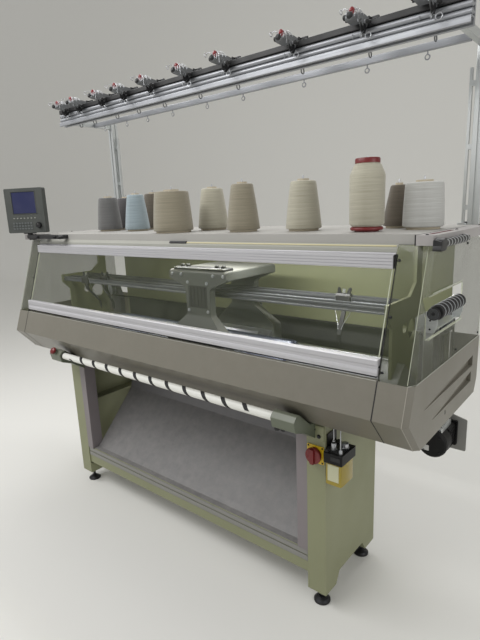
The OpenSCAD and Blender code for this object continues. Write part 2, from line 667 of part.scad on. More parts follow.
module window_bottom_rail() color("lightgray") {
    low = cover_top + 14;
    top = low + bottom_rail_height;
    x = seam_x - rail_in;
    y = lean_y(low + bottom_rail_height / 2);
    difference() {
        along_x(-x, x) polygon([[y + 16, low], [y + 16, low + 12], [lean_y(low) + 14, low + 22],
            [lean_y(top) + 12, top - 3], [lean_y(top) + 3, top], [y - 8, top], [y - 11, top - 4],
            [y - 11, top - 20], [y - 8, top - 22], [y - 8, low + 22], [y - 11, low + 20],
            [y - 13, low + 12], [y - 12, low + 1], [y - 6, low]]);
        along_x(-seam_x + 7, seam_x - 7) polygon(groove(pane_low - 0.6, top + 20));
    }
}

// Carriage arch: one casting that bridges the beds; seen from the front it is T-shaped
function arch_side(s) = [[s * (rail_offset + 18), rail_head_z + slide_gap],
    [s * (rail_offset + 18), cover_top - 14], [s * (column_inner + arch_wall), cover_top + 90],
    [s * (column_inner + arch_wall), arch_top]];
function arch_void(s) = [[s * leg_inner, rail_head_z - 1], [s * leg_inner, cover_top - 24],
    [s * column_inner, cover_top + 84], [s * column_inner, arch_top - 40]];
module carriage_arch() color("dimgray") translate([carriage_x, 0, 0]) {
    difference() {
        intersection() {
            translate([0, gap_back, 0]) along_x(-carriage_length / 2, carriage_length / 2) polygon(rounded(
                concat(arch_side(-1), [for (i = [3:-1:0]) arch_side(1)[i]]), [2, 20, 30, 16, 16, 30, 20, 2]));
            along_y(0, 700) polygon(rounded([
                [-carriage_length / 2, rail_head_z], [carriage_length / 2, rail_head_z],
                [carriage_length / 2, cover_top], [column_width / 2, cover_top + 92],
                [column_width / 2, arch_top - 80], [carriage_length / 2, arch_top - 40],
                [carriage_length / 2, arch_top + 1], [-carriage_length / 2, arch_top + 1],
                [-carriage_length / 2, arch_top - 40], [-column_width / 2, arch_top - 80],
                [-column_width / 2, cover_top + 92], [-carriage_length / 2, cover_top]],
                [2, 2, 20, 24, 24, 6, 8, 8, 6, 24, 24, 20]));
        }
        translate([0, gap_back, 0]) along_x(-carriage_length, carriage_length) polygon(
            concat(arch_void(-1), [for (i = [3:-1:0]) arch_void(1)[i]]));
    }
    // guide shoes beside each rail head
    for (s = [-1, 1]) for (x = [-1, 1]) translate([x * (carriage_length / 2 - 40), 0, 0])
        along_x(-28, 28) polygon(box_outline(
            gap_back + s * (rail_offset + 18) - (s > 0 ? 2.5 : 0), rail_head_z - 18,
            gap_back + s * (rail_offset + 18) + (s > 0 ? 0 : 2.5), rail_head_z + 20));
    // arm and clamp that take the belt's upper run
    clamp_low = belt_z + pulley_r + slide_gap;
    along_x(-36, 36) polygon([[gap_back + rail_offset + 17, cover_top - 60],
        [belt_back - belt_w / 2 - 2, cover_top - 30], [belt_back - belt_w / 2 - 2, clamp_low + belt_t],
        [belt_back + belt_w / 2, clamp_low + belt_t], [belt_back + belt_w / 2, clamp_low + belt_t + 8],
        [belt_back - belt_w / 2 - 10, clamp_low + belt_t + 8], [belt_back - belt_w / 2 - 10, cover_top - 16],
        [gap_back + rail_offset + 17, cover_top - 24]]);
}

// Cam plates: they lie just above the beds and bolt to the legs' inner faces
module cam_plate() along_x(-carriage_length / 2 + 8, carriage_length / 2 - 8)
    polygon([on_bed(20, cam_lift), on_bed(136, cam_lift),
        [gap_back - leg_inner, on_bed(136, cam_lift).y + 6],
        [gap_back - leg_inner, cover_top - 30], on_bed(96, 30), on_bed(30, 30), on_bed(20, 20)]);
module cam_plates() color("lightgray") translate([carriage_x, 0, 0]) {
    cam_plate();
    translate([0, 2 * gap_back, 0]) mirror([0, 1, 0]) cam_plate();
}

// Belt loop between two pulleys: a is the first centre, b the second, with their radii
module loop_outline(a, ra, b, rb, t) {
    d = norm(b - a);
    dir = atan2(b.y - a.y, b.x - a.x);
    off = acos((ra - rb) / d);
    translate(a) circle(r = ra + t);
    translate(b) circle(r = rb + t);
    polygon([for (s = [1, -1]) each (s > 0 ?
        [a + (ra + t) * [cos(dir + off), sin(dir + off)], b + (rb + t) * [cos(dir + off), sin(dir + off)]] :
        [b + (rb + t) * [cos(dir - off), sin(dir - off)], a + (ra + t) * [cos(dir - off), sin(dir - off)]])]);
}
module loop_belt(a, ra, b, rb, y, w) along_y(y - w / 2, y + w / 2) difference() {
    loop_outline(a, ra, b, rb, belt_t);
    loop_outline(a, ra, b, rb, 0.3);
}
module drive_belt() color([0.15, 0.15, 0.15])
    loop_belt([-pulley_x, belt_z], pulley_r, [pulley_x, belt_z], pulley_r, belt_back, belt_w);
module motor_belt() color([0.15, 0.15, 0.15])
    loop_belt([pulley_x, belt_z], big_pulley_r, [motor_x, motor_z], motor_pulley_r, big_belt_back, 20);

// Toothed pulley with a flange on each side
module toothed_pulley(r, w, teeth) {
    linear_extrude(w, center = true) polygon([for (i = [0:teeth - 1]) each [
        for (k = [[0, r], [0.5, r], [0.6, r - 2.5], [0.9, r - 2.5]])
            k[1] * [cos((i + k[0]) * 360 / teeth), sin((i + k[0]) * 360 / teeth)]]]);
    for (s = [-1, 1]) translate([0, 0, s * (w / 2 + 2)]) cylinder(r = r + 6, h = 2.4, center = true);
}
module pulley_at(x, z, r, y, w, teeth) translate([x, y, z]) rotate([90, 0, 0]) toothed_pulley(r, w, teeth);
module drive_pulley() color("silver") {
    pulley_at(pulley_x, belt_z, pulley_r, belt_back, belt_w + 2, 30);
    pulley_at(pulley_x, belt_z, big_pulley_r, big_belt_back, 22, 44);
    rod_y(pulley_x, belt_z, shaft_r, belt_back - 20, big_belt_back + 18);
}
module idler_pulley() color("silver") {
    pulley_at(-pulley_x, belt_z, pulley_r, belt_back, belt_w + 2, 30);
    rod_y(-pulley_x, belt_z, shaft_r, belt_back - 20, belt_back + 76);
}
module motor_pulley() color("silver") {
    pulley_at(motor_x, motor_z, motor_pulley_r, big_belt_back, 22, 20);
    rod_y(motor_x, motor_z, 8, motor_back - 30, big_belt_back + 14);
}
// Bearing brackets that carry the pulley shafts from the bed base's ends
module pulley_brackets() color("dimgray") both_ends() {
    difference() {
        union() {
            along_y(belt_back + 26, belt_back + 62) polygon(rounded([
                [pulley_x - 60, base_bottom], [pulley_x + 26, base_bottom],
                [pulley_x + 26, belt_z + 26], [pulley_x - 26, belt_z + 26],
                [pulley_x - 60, belt_z - 60]], [3, 3, 18, 18, 12]));
            along_x(pulley_x - 60, pulley_x - 1)
                polygon(box_outline(gap_back + ledge_half + 0.3, base_bottom, belt_back + 27, base_bottom + 30));
        }
        rod_y(pulley_x, belt_z, shaft_r + run_gap, belt_back, belt_back + 90);
    }
}

// Servo motor: capped round body, cooling section, flange with a bored nose
module servo_motor() color([0.1, 0.1, 0.11]) difference() {
    union() {
        translate([motor_x, motor_front, motor_z]) rotate([-90, 0, 0]) rotate_extrude()
            polygon([[0, 0], [motor_r - 6, 0], [motor_r, 5], [motor_r, 74], [motor_r - 3, 78], [0, 78]]);
        along_y(motor_front + 77, motor_back - 12) translate([motor_x, motor_z])
            polygon(rounded(box_outline(-48, -48, 48, 48), 8));
        along_y(motor_back - 12.5, motor_back) translate([motor_x, motor_z])
            polygon(rounded(box_outline(-56, -56, 56, 56), 6));
        // terminal box on top
        along_y(motor_front + 84, motor_back - 30) translate([motor_x, motor_z + 47])
            polygon(rounded(box_outline(-30, 0, 30, 22), 3));
    }
    rod_y(motor_x, motor_z, 8 + run_gap, motor_back - 40, motor_back + 1);
    for (x = [-46, 46]) for (z = [-46, 46])
        rod_y(motor_x + x, motor_z + z, 4.5, motor_back - 20, motor_back + 1);
}
// Motor plate hung from the bearing bracket by a strap
module motor_bracket() color("gray") difference() {
    union() {
        along_y(motor_back + 0.3, motor_back + 6) polygon(rounded([
            [motor_x - 66, motor_z - 80], [motor_x + 92, motor_z - 80], [motor_x + 92, motor_z + 66],
            [motor_x + 20, motor_z + 84], [motor_x + 20, base_bottom + 40], [pulley_x - 50, base_bottom + 40],
            [pulley_x - 50, base_bottom + 4], [motor_x - 66, motor_z + 80]], [6, 6, 6, 10, 4, 4, 4, 10]));
        along_y(belt_back + 62, motor_back + 6)
            polygon(box_outline(pulley_x - 50, base_bottom + 4, pulley_x + 10, base_bottom + 10));
    }
    rod_y(motor_x, motor_z, 24, motor_back - 1, motor_back + 8);
    for (x = [-46, 46]) for (z = [-46, 46])
        rod_y(motor_x + x, motor_z + z, 4.5, motor_back - 1, motor_back + 8);
}

// Yarn feeder: a saddle on its carrier rail and an arm down to the needle gap
module feeder(rail, tip) {
    difference() {
        along_x(-32, 32) polygon(rounded([[rail - 13, carrier_z - 17], [rail + 13, carrier_z - 17],
            [rail + 13, carrier_z + 18], [rail + 8, carrier_z + 28], [rail - 8, carrier_z + 28],
            [rail - 13, carrier_z + 18]], 2));
        translate([0, rail, carrier_z]) along_x(-40, 40) polygon(carrier_outline(slide_gap));
    }
    // arm, tapered tip and the two stop levers on top
    along_x(-9, 9) polygon([[rail - 5, carrier_z - 16.5], [rail + 5, carrier_z - 16.5],
        [rail + 5, carrier_z - 44], [tip + 2, gap_z + 44], [tip + 2, gap_z + 12], [tip - 2, gap_z + 12],
        [tip - 3, gap_z + 46], [rail - 5, carrier_z - 48]]);
    along_x(-3, 3) polygon([[tip - 2, gap_z + 13], [tip + 2, gap_z + 13], [tip + 1.2, gap_z + 2],
        [tip - 1.2, gap_z + 2]]);
    for (s = [-1, 1]) translate([s * 20, rail, carrier_z + 27]) along_y(-4, 4)
        polygon(rounded([[-8, 0], [8, 0], [8 + s * 6, 22], [s * 6, 26]], 2));
}
module front_outer_feeder() color([0.1, 0.1, 0.12])
    translate([-820, 0, 0]) feeder(gap_back - outer_rail, gap_back - 9.5);
module front_inner_feeder() color([0.1, 0.1, 0.12])
    translate([-700, 0, 0]) feeder(gap_back - inner_rail, gap_back - 3.2);
module rear_inner_feeder() color([0.1, 0.1, 0.12])
    translate([820, 0, 0]) feeder(gap_back + inner_rail, gap_back + 3.2);

// Feed wheels on one shaft, in the window's cut-out
wheel_back = wheel_front + (wheel_count - 1) * wheel_pitch;
module feed_wheels() color([0.08, 0.08, 0.08]) {
    rod_y(wheel_x, wheel_z, 6, wheel_front - 32, wheel_back + 28);
    for (i = [0:wheel_count - 1]) translate([wheel_x, wheel_front + i * wheel_pitch, wheel_z])
        rotate([90, 0, 0]) rotate_extrude() polygon([[5.9, -9], [wheel_d / 2 - 3, -9],
            [wheel_d / 2, -7], [wheel_d / 2, -4], [wheel_d / 2 - 5, -1], [wheel_d / 2 - 5, 1],
            [wheel_d / 2, 4], [wheel_d / 2, 7], [wheel_d / 2 - 3, 9], [12, 9], [12, 12], [5.9, 12]]);
}
module feed_wheel_bracket() color("white") difference() {
    union() {
        for (y = [wheel_front - 30, wheel_back + 20]) along_y(y, y + 5)
            polygon(rounded([[wheel_x - 26, wheel_z - 66], [wheel_x + 2, wheel_z - 66],
                [wheel_x + 11, wheel_z - 40], [wheel_x + 11, wheel_z + 10], [wheel_x - 6, wheel_z + 18],
                [wheel_x - 20, wheel_z + 8]], [2, 4, 10, 8, 8, 6]));
        along_y(wheel_front - 26, wheel_back + 21)
            polygon(bent([[wheel_x - 62, wheel_z - 20], [wheel_x - 62, wheel_z - 66],
                [wheel_x - 6, wheel_z - 66]], sheet));
        // stem down to a foot on the bed base's end
        along_x(wheel_x - 62, wheel_x - 59)
            polygon(box_outline(wheel_front + 60, base_bottom + 20, wheel_front + 160, wheel_z - 60));
        along_x(base_half + seat_gap, wheel_x - 59) polygon(box_outline(wheel_front + 60, base_bottom + 20,
            wheel_front + 160, base_bottom + 26));
        along_x(base_half + seat_gap, base_half + 6) polygon(box_outline(wheel_front + 60, base_bottom + 20,
            wheel_front + 160, base_bottom + 90));
    }
    rod_y(wheel_x, wheel_z, 6 + run_gap, wheel_front - 40, wheel_back + 40);
    for (z = [-54, -24]) rod_y(wheel_x - 12, wheel_z + z, 3, wheel_front - 31, wheel_front - 24);
}

// Operating bar: a tube with a journal in each bracket
bracket_inner = stand_inner - trim_width - 14;
bracket_outer = stand_outer - 44;
module operating_bar() color("whitesmoke") {
    rod_x(bar_y, bar_z, bar_d / 2, -bracket_inner + 2, bracket_inner - 2);
    rod_x(bar_y, bar_z, 10, -bracket_inner - 24, bracket_inner + 24);
}
module bar_bracket() difference() {
    along_x(bracket_inner, bracket_outer) polygon(rounded([
        [bar_y - 30, bar_z + 8], [bar_y - 12, bar_z + 28], [bar_y + 10, bar_z + 28],
        [bottom_back - 6, bottom_z - 7], [stand_front - seat_gap, bottom_z - 7],
        [stand_front - seat_gap, bottom_z - 78],
        [bar_y + 40, bar_z - 56], [bar_y - 20, bar_z - 34]], [6, 6, 6, 6, 1, 1, 8, 10]));
    along_x(bracket_inner + 30, bracket_outer - 4) polygon(rounded([
        [bar_y + 30, bar_z + 4], [stand_front - 8, bottom_z - 24], [stand_front - 8, bottom_z - 66],
        [bar_y + 44, bar_z - 48], [bar_y + 26, bar_z - 34]], 4));
    rod_x(bar_y, bar_z, 10 + run_gap, bracket_inner - 1, bracket_inner + 26);
}
button_x = -(bracket_inner + bracket_outer) / 2;
module button_axis() translate([button_x, button_seat.x, button_seat.y]) rotate([button_tilt, 0, 0]) children();
module bar_brackets() color("darkseagreen") difference() {
    union() {
        both_ends() bar_bracket();
        button_axis() translate([0, 0, -3]) cylinder(r = 17, h = 11);
    }
    button_axis() translate([0, 0, -20]) cylinder(r = 8 + run_gap, h = 40);
}
// Stop button: a mushroom head on a stem
module stop_button() color("firebrick") button_axis() rotate_extrude()
    polygon([[0, -14], [8, -14], [8, 15], [15, 15], [20, 17], [20, 22], button_rim, [8, 30], [0, 31]]);

switch_x = stand_outer - 43;
switch_z = bottom_z - 144;
module switch_plate() color("gold") difference() {
    along_y(stand_front - 4, stand_front - 0.3)
        polygon(rounded(box_outline(switch_x - 37, switch_z - 37, switch_x + 37, switch_z + 37), 3));
    rod_y(switch_x, switch_z, 6 + run_gap, stand_front - 10, stand_front + 1);
}
// Switch knob: a round disc with a raised grip across it
module switch_knob() color("firebrick") translate([switch_x, stand_front - 4.5, switch_z]) rotate([90, 0, 0]) {
    cylinder(r = 27, h = 12);
    translate([0, 0, -4]) cylinder(r = 6, h = 5);
    linear_extrude(32) polygon(rounded(box_outline(-9, -30, 9, 30), [8, 8, 3, 3]));
}

roller_z = base_bottom - 110;
module take_down_roller(s) {
    y = gap_back + s * (roller_d / 2 + 1.5);
    rod_x(y, roller_z, roller_d / 2, -bed_length / 2 - 20, bed_length / 2 + 20);
    rod_x(y, roller_z, 10, -bed_length / 2 - 64, bed_length / 2 + 64);
}
module front_take_down_roller() color([0.2, 0.2, 0.2]) take_down_roller(-1);
module rear_take_down_roller() color([0.2, 0.2, 0.2]) take_down_roller(1);
module roller_brackets() color("gray") both_ends() difference() {
    along_x(bed_length / 2 + 30, bed_length / 2 + 46) polygon(rounded([
        [gap_back - base_side + 8, base_bottom - bed_gap], [gap_back - base_side + 8, base_bottom - 30],
        [gap_back - 70, roller_z - 20], [gap_back - 40, roller_z - 46],
        [gap_back + 40, roller_z - 46], [gap_back + 70, roller_z - 20],
        [gap_back + base_side - 8, base_bottom - 30], [gap_back + base_side - 8, base_bottom - bed_gap]],
        [1, 6, 16, 16, 16, 16, 6, 1]));
    for (s = [-1, 1]) rod_x(gap_back + s * (roller_d / 2 + 1.5), roller_z, 10 + run_gap,
        bed_length / 2, bed_length / 2 + 80);
}

// Lubricator on the right stand: an oil bottle under a pump head
lube_x = stand_outer + 0.3;
lube_top = bottom_z - 112;
module lubricator() color("gold") {
    translate([0, 0, lube_top - 132]) linear_extrude(92)
        polygon(rounded(box_outline(lube_x + 8, 84, lube_x + 76, 186), 10));
    translate([0, 0, lube_top - 40.2]) linear_extrude(40)
        polygon(rounded(box_outline(lube_x + 2, 76, lube_x + 82, 194), 6));
    translate([lube_x + 30, 110, lube_top - 1]) cylinder(r = 9, h = 40);
    translate([lube_x + 56, 150, lube_top - 1]) cylinder(r = 14, h = 20);
    // mounting plate against the stand
    along_x(lube_x, lube_x + 4) polygon(rounded(box_outline(110, lube_top - 60, 180, lube_top + 60), 4));
}

// Controller arm: a bar along the table's front edge with a bolted foot and a pivot post
module controller_arm() color([0.15, 0.15, 0.15]) {
    along_y(panel_y - 12, panel_y + 12)
        polygon(rounded([[panel_x - 18, table_z - 24], [panel_x + 330, table_z - 24],
            [panel_x + 346, table_z - 12], [panel_x + 330, table_z - 2], [panel_x - 18, table_z - 2]],
            [6, 4, 4, 4, 6]));
    for (x = [panel_x + 110, panel_x + 300]) {
        along_y(panel_y + 11, table_front - seat_gap)
            polygon(rounded(box_outline(x - 18, table_z - 26, x + 18, table_z - 4), 3));
        rod_y(x, table_z - 14, 8, panel_y - 18, panel_y - 11);
    }
    translate([panel_x, panel_y, table_z - 3]) cylinder(r = 13, h = 4);
    translate([panel_x, panel_y, table_z]) cylinder(r = 8, h = 9);
}
// Yoke: a hub on the pivot post and two ears that hold the case
module on_panel() translate([panel_x, panel_y, 0]) rotate([0, 0, panel_turn]) children();
module controller_yoke() color([0.15, 0.15, 0.15]) on_panel() difference() {
    union() {
        translate([0, 0, table_z + 1 + slide_gap]) cylinder(r = 15, h = 18);
        for (s = [-1, 1]) along_x(s * 30 - 4, s * 30 + 4) polygon(rounded([[-16, table_z + 7],
            [16, table_z + 7], [16, tilt_z + 10], [-16, tilt_z + 10]], [2, 2, 8, 8]));
        translate([-30, -12, table_z + 6]) cube([60, 24, 5]);
        rod_x(0, tilt_z, 5, -70, 70);
    }
    translate([0, 0, table_z]) cylinder(r = 8 + run_gap, h = 17);
}
// Case: a shallow moulded shell with a framed screen, a key row, a keypad and a dial seat
module controller_case() color([0.3, 0.32, 0.3]) on_panel() difference() {
    union() {
        along_y(-panel_t / 2, panel_t / 2 - 12) polygon(rounded(
            box_outline(-panel_w / 2, panel_z, panel_w / 2, panel_z + panel_h), 8));
        along_y(panel_t / 2 - 12.5, panel_t / 2) polygon(rounded(
            box_outline(-panel_w / 2 + 14, panel_z + 14, panel_w / 2 - 14, panel_z + panel_h - 14), 8));
        // membrane key row and keypad
        for (i = [0:6]) along_y(-panel_t / 2 - 1.5, -panel_t / 2 + 1)
            polygon(rounded(box_outline(-84 + i * 24, panel_z + 84, -74 + i * 24, panel_z + 90), 2));
        for (i = [0:6]) for (k = [0:2]) along_y(-panel_t / 2 - 1.5, -panel_t / 2 + 1)
            polygon(rounded(box_outline(-92 + i * 20, panel_z + 20 + k * 16,
                -78 + i * 20, panel_z + 30 + k * 16), 2));
    }
    // screen recess
    along_y(-panel_t / 2 - 1, -panel_t / 2 + 4) polygon(rounded(
        box_outline(-82, panel_z + 114, 78, panel_z + panel_h - 22), 4));
    // dial seat, and the yoke's pocket with its pivot holes
    rod_y(88, panel_z + 44, 6 + run_gap, -panel_t / 2 - 1, -panel_t / 2 + 12);
    for (s = [-1, 1]) translate([s * 30 - 6, -20, panel_z - 1]) cube([12, 40, 30]);
    translate([-24, -18, panel_z - 1]) cube([48, 36, 14]);
    rod_x(0, tilt_z, 5 + run_gap, -71, 71);
}
module controller_dial() color([0.1, 0.1, 0.1]) on_panel()
    translate([88, -panel_t / 2 - 0.5, panel_z + 44]) rotate([90, 0, 0]) {
        cylinder(r1 = 17, r2 = 15, h = 14);
        translate([0, 0, -10]) cylinder(r = 6, h = 11);
    }

// Yarn supply on the table: cones, a flanged bobbin and wound packages on their pins
module cone_of_yarn(x, y, r_low, r_high, h) translate([x, y, table_z + 0.3]) rotate_extrude()
    polygon([[4.3, 0], [r_low - 14, 0], [r_low - 12, 9], [r_low - 2, 9], [r_low, 14],
        [r_high, h - 6], [r_high - 5, h], [r_high * 0.45, h - 2], [r_high * 0.45, h + 8],
        [r_high * 0.45 - 4, h + 8], [r_high * 0.45 - 4, 12], [4.3, 12]]);
module bobbin_of_yarn(x, y, r, h) translate([x, y, table_z + 0.3]) rotate_extrude()
    polygon([[4.3, 0], [r * 0.7, 0], [r * 0.7, 16], [r - 8, 16], [r, 26], [r, h - 60],
        [r - 14, h - 26], [r * 0.66, h - 18], [r * 0.7, h - 16], [r * 0.7, h], [4.3, h]]);
module yarn_cones() color("linen") {
    cone_of_yarn(-840, 450, 74, 56, 200);
    cone_of_yarn(-910, 640, 72, 54, 200);
    cone_of_yarn(-560, 440, 72, 48, 205);
    cone_of_yarn(-640, 640, 74, 50, 215);
    cone_of_yarn(-70, 270, 99, 84, 198);
    cone_of_yarn(-10, 500, 80, 56, 210);
    cone_of_yarn(330, 330, 76, 50, 210);
    cone_of_yarn(620, 380, 76, 54, 205);
    bobbin_of_yarn(940, 310, 64, 262);
    cone_of_yarn(960, 560, 62, 34, 170);
    cone_of_yarn(1100, 450, 74, 68, 170);
}

seat() left_stand();
seat() right_stand();
seat() stand_trims();
seat() lower_beams();
seat() levelling_feet();
seat() bed_base();
seat() front_needle_bed();
seat() rear_needle_bed();
seat() carriage_rails();
seat() yarn_carrier_rails();
seat() carrier_rail_brackets();
seat() fabric_chute();
seat() front_cover();
seat() left_end_cover();
seat() right_end_cover();
seat() left_end_window();
seat() right_end_window();
seat() rear_cover();
seat() header_cover();
seat() yarn_table();
seat() table_end_pieces();
seat() end_guide_bar();
seat() overhead_posts();
seat() tension_rail();
seat() wiring_duct();
seat() guide_rail();
seat() tension_units();
seat() lamp_caps();
seat() window_pane();
seat() window_top_rail();
seat() window_bottom_rail();
seat() carriage_arch();
seat() cam_plates();
seat() drive_belt();
seat() drive_pulley();
seat() idler_pulley();
seat() pulley_brackets();
seat() motor_belt();
seat() motor_pulley();
seat() servo_motor();
seat() motor_bracket();
seat() front_outer_feeder();
seat() front_inner_feeder();
seat() rear_inner_feeder();
seat() feed_wheels();
seat() feed_wheel_bracket();
seat() operating_bar();
seat() bar_brackets();
seat() stop_button();
seat() switch_plate();
seat() switch_knob();
seat() front_take_down_roller();
seat() rear_take_down_roller();
seat() roller_brackets();
seat() lubricator();
seat() controller_arm();
seat() controller_yoke();
seat() controller_case();
seat() controller_dial();
seat() yarn_cones();
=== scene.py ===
# %% [markdown]
# # A flat knitting machine, dressed for its picture
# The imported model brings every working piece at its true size: stands, covers, needle beds,
# carriage, rails and posts. This lesson adds the finishes and the small repeated things that a
# solid model leaves out, such as needles, screws, belt teeth, eyelets and wound yarn.

# %% Load the model
import bpy
import bmesh
from functools import partial
from math import acos, atan2, cos, hypot, pi, radians, sin, sqrt, tan
from mathutils import Matrix, Vector


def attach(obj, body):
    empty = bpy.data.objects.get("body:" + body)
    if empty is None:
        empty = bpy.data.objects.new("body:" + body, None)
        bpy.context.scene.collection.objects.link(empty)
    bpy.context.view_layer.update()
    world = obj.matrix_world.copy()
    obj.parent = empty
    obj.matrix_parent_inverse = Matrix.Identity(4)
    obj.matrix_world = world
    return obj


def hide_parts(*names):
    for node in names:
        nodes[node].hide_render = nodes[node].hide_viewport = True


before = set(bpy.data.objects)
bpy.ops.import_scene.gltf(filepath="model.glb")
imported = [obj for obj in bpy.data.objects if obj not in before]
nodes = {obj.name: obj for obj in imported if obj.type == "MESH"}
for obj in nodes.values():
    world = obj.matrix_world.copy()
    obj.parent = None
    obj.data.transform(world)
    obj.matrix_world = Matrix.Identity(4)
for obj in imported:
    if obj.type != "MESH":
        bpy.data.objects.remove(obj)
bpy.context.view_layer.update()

# %% [markdown]
# The machine was set out in millimetres: widths from the middle of the front cover, depths from
# that cover's top edge, and heights from the floor. The model stands with the middle of its box
# over the origin, so each place is moved by the same amount.

# %% Places and colours
MID = Vector((6.167, 382.986, 0.0))
SIDES = (-1, 1)


def at(x, y, z):
    return (Vector((x, y, z)) - MID) / 1000


def span(side, near, far):
    """The stretch from near to far on the left (-1) or right (1) side, lowest end first."""
    return sorted((side * near, side * far))


def tone(r, g, b):
    """Screen colour, 0 to 255, as the linear colour that a shader takes."""
    def linear(v):
        v /= 255
        return v / 12.92 if v <= 0.04045 else ((v + 0.055) / 1.055) ** 2.4
    return (linear(r), linear(g), linear(b), 1.0)


print("front cover's left corner:", tuple(round(v, 4) for v in at(-1131, 0, 1100)))

# %% [markdown]
# ## The camera
# The photograph was taken from the right front corner of the machine, a little above the table,
# with a wide lens. Three directions fix the camera: right, up and backwards.

# %% Camera
ahead = Vector((-0.627333, 0.746415, -0.222062)).normalized()
right = Vector((0.770700, 0.635930, -0.040050)).normalized()
up = right.cross(ahead).normalized()
right = ahead.cross(up).normalized()
lens = bpy.data.cameras.new("viewpoint")
lens.sensor_width, lens.lens, lens.clip_start = 36, 27.36, 0.05
camera = bpy.data.objects.new("viewpoint", lens)
camera.matrix_world = Matrix.Translation(at(1755, -1417, 1660.5)) @ Matrix(
    (right, up, -ahead)).transposed().to_4x4()
bpy.context.scene.collection.objects.link(camera)
bpy.context.scene.camera = camera
print("camera at", tuple(round(v, 3) for v in camera.location))

# %% [markdown]
# ## Floor and light
# A plain pale floor that turns up into a backdrop carries the machine's shadow. The light is
# soft and comes mostly from above. A slim lamp under the machine's own roof lights its inner
# wall.

# %% Floor and backdrop, in metres
scene = bpy.context.scene
scene.view_settings.view_transform = "Standard"
FLOOR_FRONT, BACK_WALL, WALL_TOP, HALF_WIDTH, TURN_UP = -9.0, 5.8, 12.0, 30, 1.6


def mesh_object(name, verts, faces, material=None):
    mesh = bpy.data.meshes.new(name)
    mesh.from_pydata([tuple(v) for v in verts], [], faces)
    mesh.validate()
    mesh.update()
    obj = bpy.data.objects.new(name, mesh)
    scene.collection.objects.link(obj)
    if material:
        mesh.materials.append(material)
    return obj


def new_material(name):
    """A new material and its Principled shader."""
    material = bpy.data.materials.new(name)
    material.use_nodes = True
    return material, material.node_tree.nodes["Principled BSDF"]


paper, shader = new_material("floor_paper")
shader.inputs["Base Color"].default_value = tone(226, 225, 221)
shader.inputs["Roughness"].default_value = 0.85
profile = [(FLOOR_FRONT, 0.0), (BACK_WALL - TURN_UP, 0.0)]
profile += [(BACK_WALL - TURN_UP + TURN_UP * sin(radians(a)), TURN_UP - TURN_UP * cos(radians(a)))
            for a in range(10, 91, 10)] + [(BACK_WALL, WALL_TOP)]
floor = mesh_object(
    "studio_floor", [(x, y, z - 0.0005) for y, z in profile for x in (-HALF_WIDTH, HALF_WIDTH)],
    [(2 * i, 2 * i + 1, 2 * i + 3, 2 * i + 2) for i in range(len(profile) - 1)], paper)
floor.data.shade_smooth()
print("backdrop:", len(profile), "steps")

# %% World and lamps
LAMPS = {  # place, target, size in metres and watts
    "overhead_front": ((-1.4, -2.2, 3.7), (-0.3, 0, 0.9), (4.0, 1.2), 84),
    "overhead_rear": ((-0.6, 1.4, 3.8), (0, 0, 1.2), (4.5, 1.0), 62),
    "side_window": ((4.2, -0.6, 2.2), (0.4, 0, 0.9), (1.8, 1.8), 26),
    "under_the_roof": (at(480, 216, 1500), at(480, 420, 1200), (1.2, 0.03), 8)}
world = bpy.data.worlds.new("soft_room")
scene.world = world
world.use_nodes = True
sky = world.node_tree.nodes["Background"]
sky.inputs["Color"].default_value = (1.0, 1.0, 0.98, 1)
sky.inputs["Strength"].default_value = 0.54
for name, (place, target, size, watts) in LAMPS.items():
    data = bpy.data.lights.new(name, "AREA")
    data.shape = "RECTANGLE"
    data.size, data.size_y = size
    data.energy = watts
    lamp = bpy.data.objects.new(name, data)
    lamp.location = place
    aim = Vector(target) - Vector(place)
    lamp.rotation_euler = aim.to_track_quat("-Z", "Y").to_euler()
    scene.collection.objects.link(lamp)
print("lamps:", list(LAMPS))

# %% [markdown]
# ## Shared effects
# Three effects come back in many finishes, so each is a node group with named inputs: enamel
# that is a little uneven and dusty on top, metal brushed along one direction, and the fine
# grain of moulded plastic. A group only works out colours, roughness and bumps.

# %% A short way to write nodes


class Net:
    """Adds nodes to a tree, with their inputs by name, and links them by socket."""

    def __init__(self, tree):
        self.tree = tree

    def add(self, kind, settings=None, **inputs):
        node = self.tree.nodes.new(kind)
        for key, value in (settings or {}).items():
            setattr(node, key, value)
        for key, value in inputs.items():
            self.put(next(s for s in node.inputs if s.name == key and s.enabled), value)
        return node

    def put(self, socket, value):
        if isinstance(value, bpy.types.NodeSocket):
            self.tree.links.new(value, socket)
        else:
            socket.default_value = value

    def here(self):
        return self.add("ShaderNodeTexCoord").outputs["Object"]

    def math(self, operation, a, b=0.0, clamp=False):
        node = self.add("ShaderNodeMath", {"operation": operation, "use_clamp": clamp})
        self.put(node.inputs[0], a)
        self.put(node.inputs[1], b)
        return node.outputs[0]

    def total(self, first, *rest):
        return self.math("ADD", first, self.total(*rest)) if rest else first

    def mix(self, factor, a, b, blend="MIX"):
        node = self.add("ShaderNodeMix", {"data_type": "RGBA", "blend_type": blend})
        self.put(node.inputs["Factor"], factor)
        self.put(node.inputs[6], a)
        self.put(node.inputs[7], b)
        return node.outputs[2]

    def times(self, colour, factors):
        """A colour multiplied by three factors."""
        return self.mix(1.0, colour, (*factors, 1), "MULTIPLY")

    def spread(self, value, low, high, to_low=0.0, to_high=1.0):
        ends = {"From Min": low, "From Max": high, "To Min": to_low, "To Max": to_high}
        return self.add("ShaderNodeMapRange", Value=value, **ends).outputs["Result"]

    def noise(self, place, scale, detail=2.0, rough=0.5):
        return self.add("ShaderNodeTexNoise", Vector=place, Scale=scale, Detail=detail,
                        Roughness=rough).outputs["Fac"]

    def bump(self, height, strength, distance):
        return self.add("ShaderNodeBump", Height=height, Strength=strength,
                        Distance=distance).outputs["Normal"]


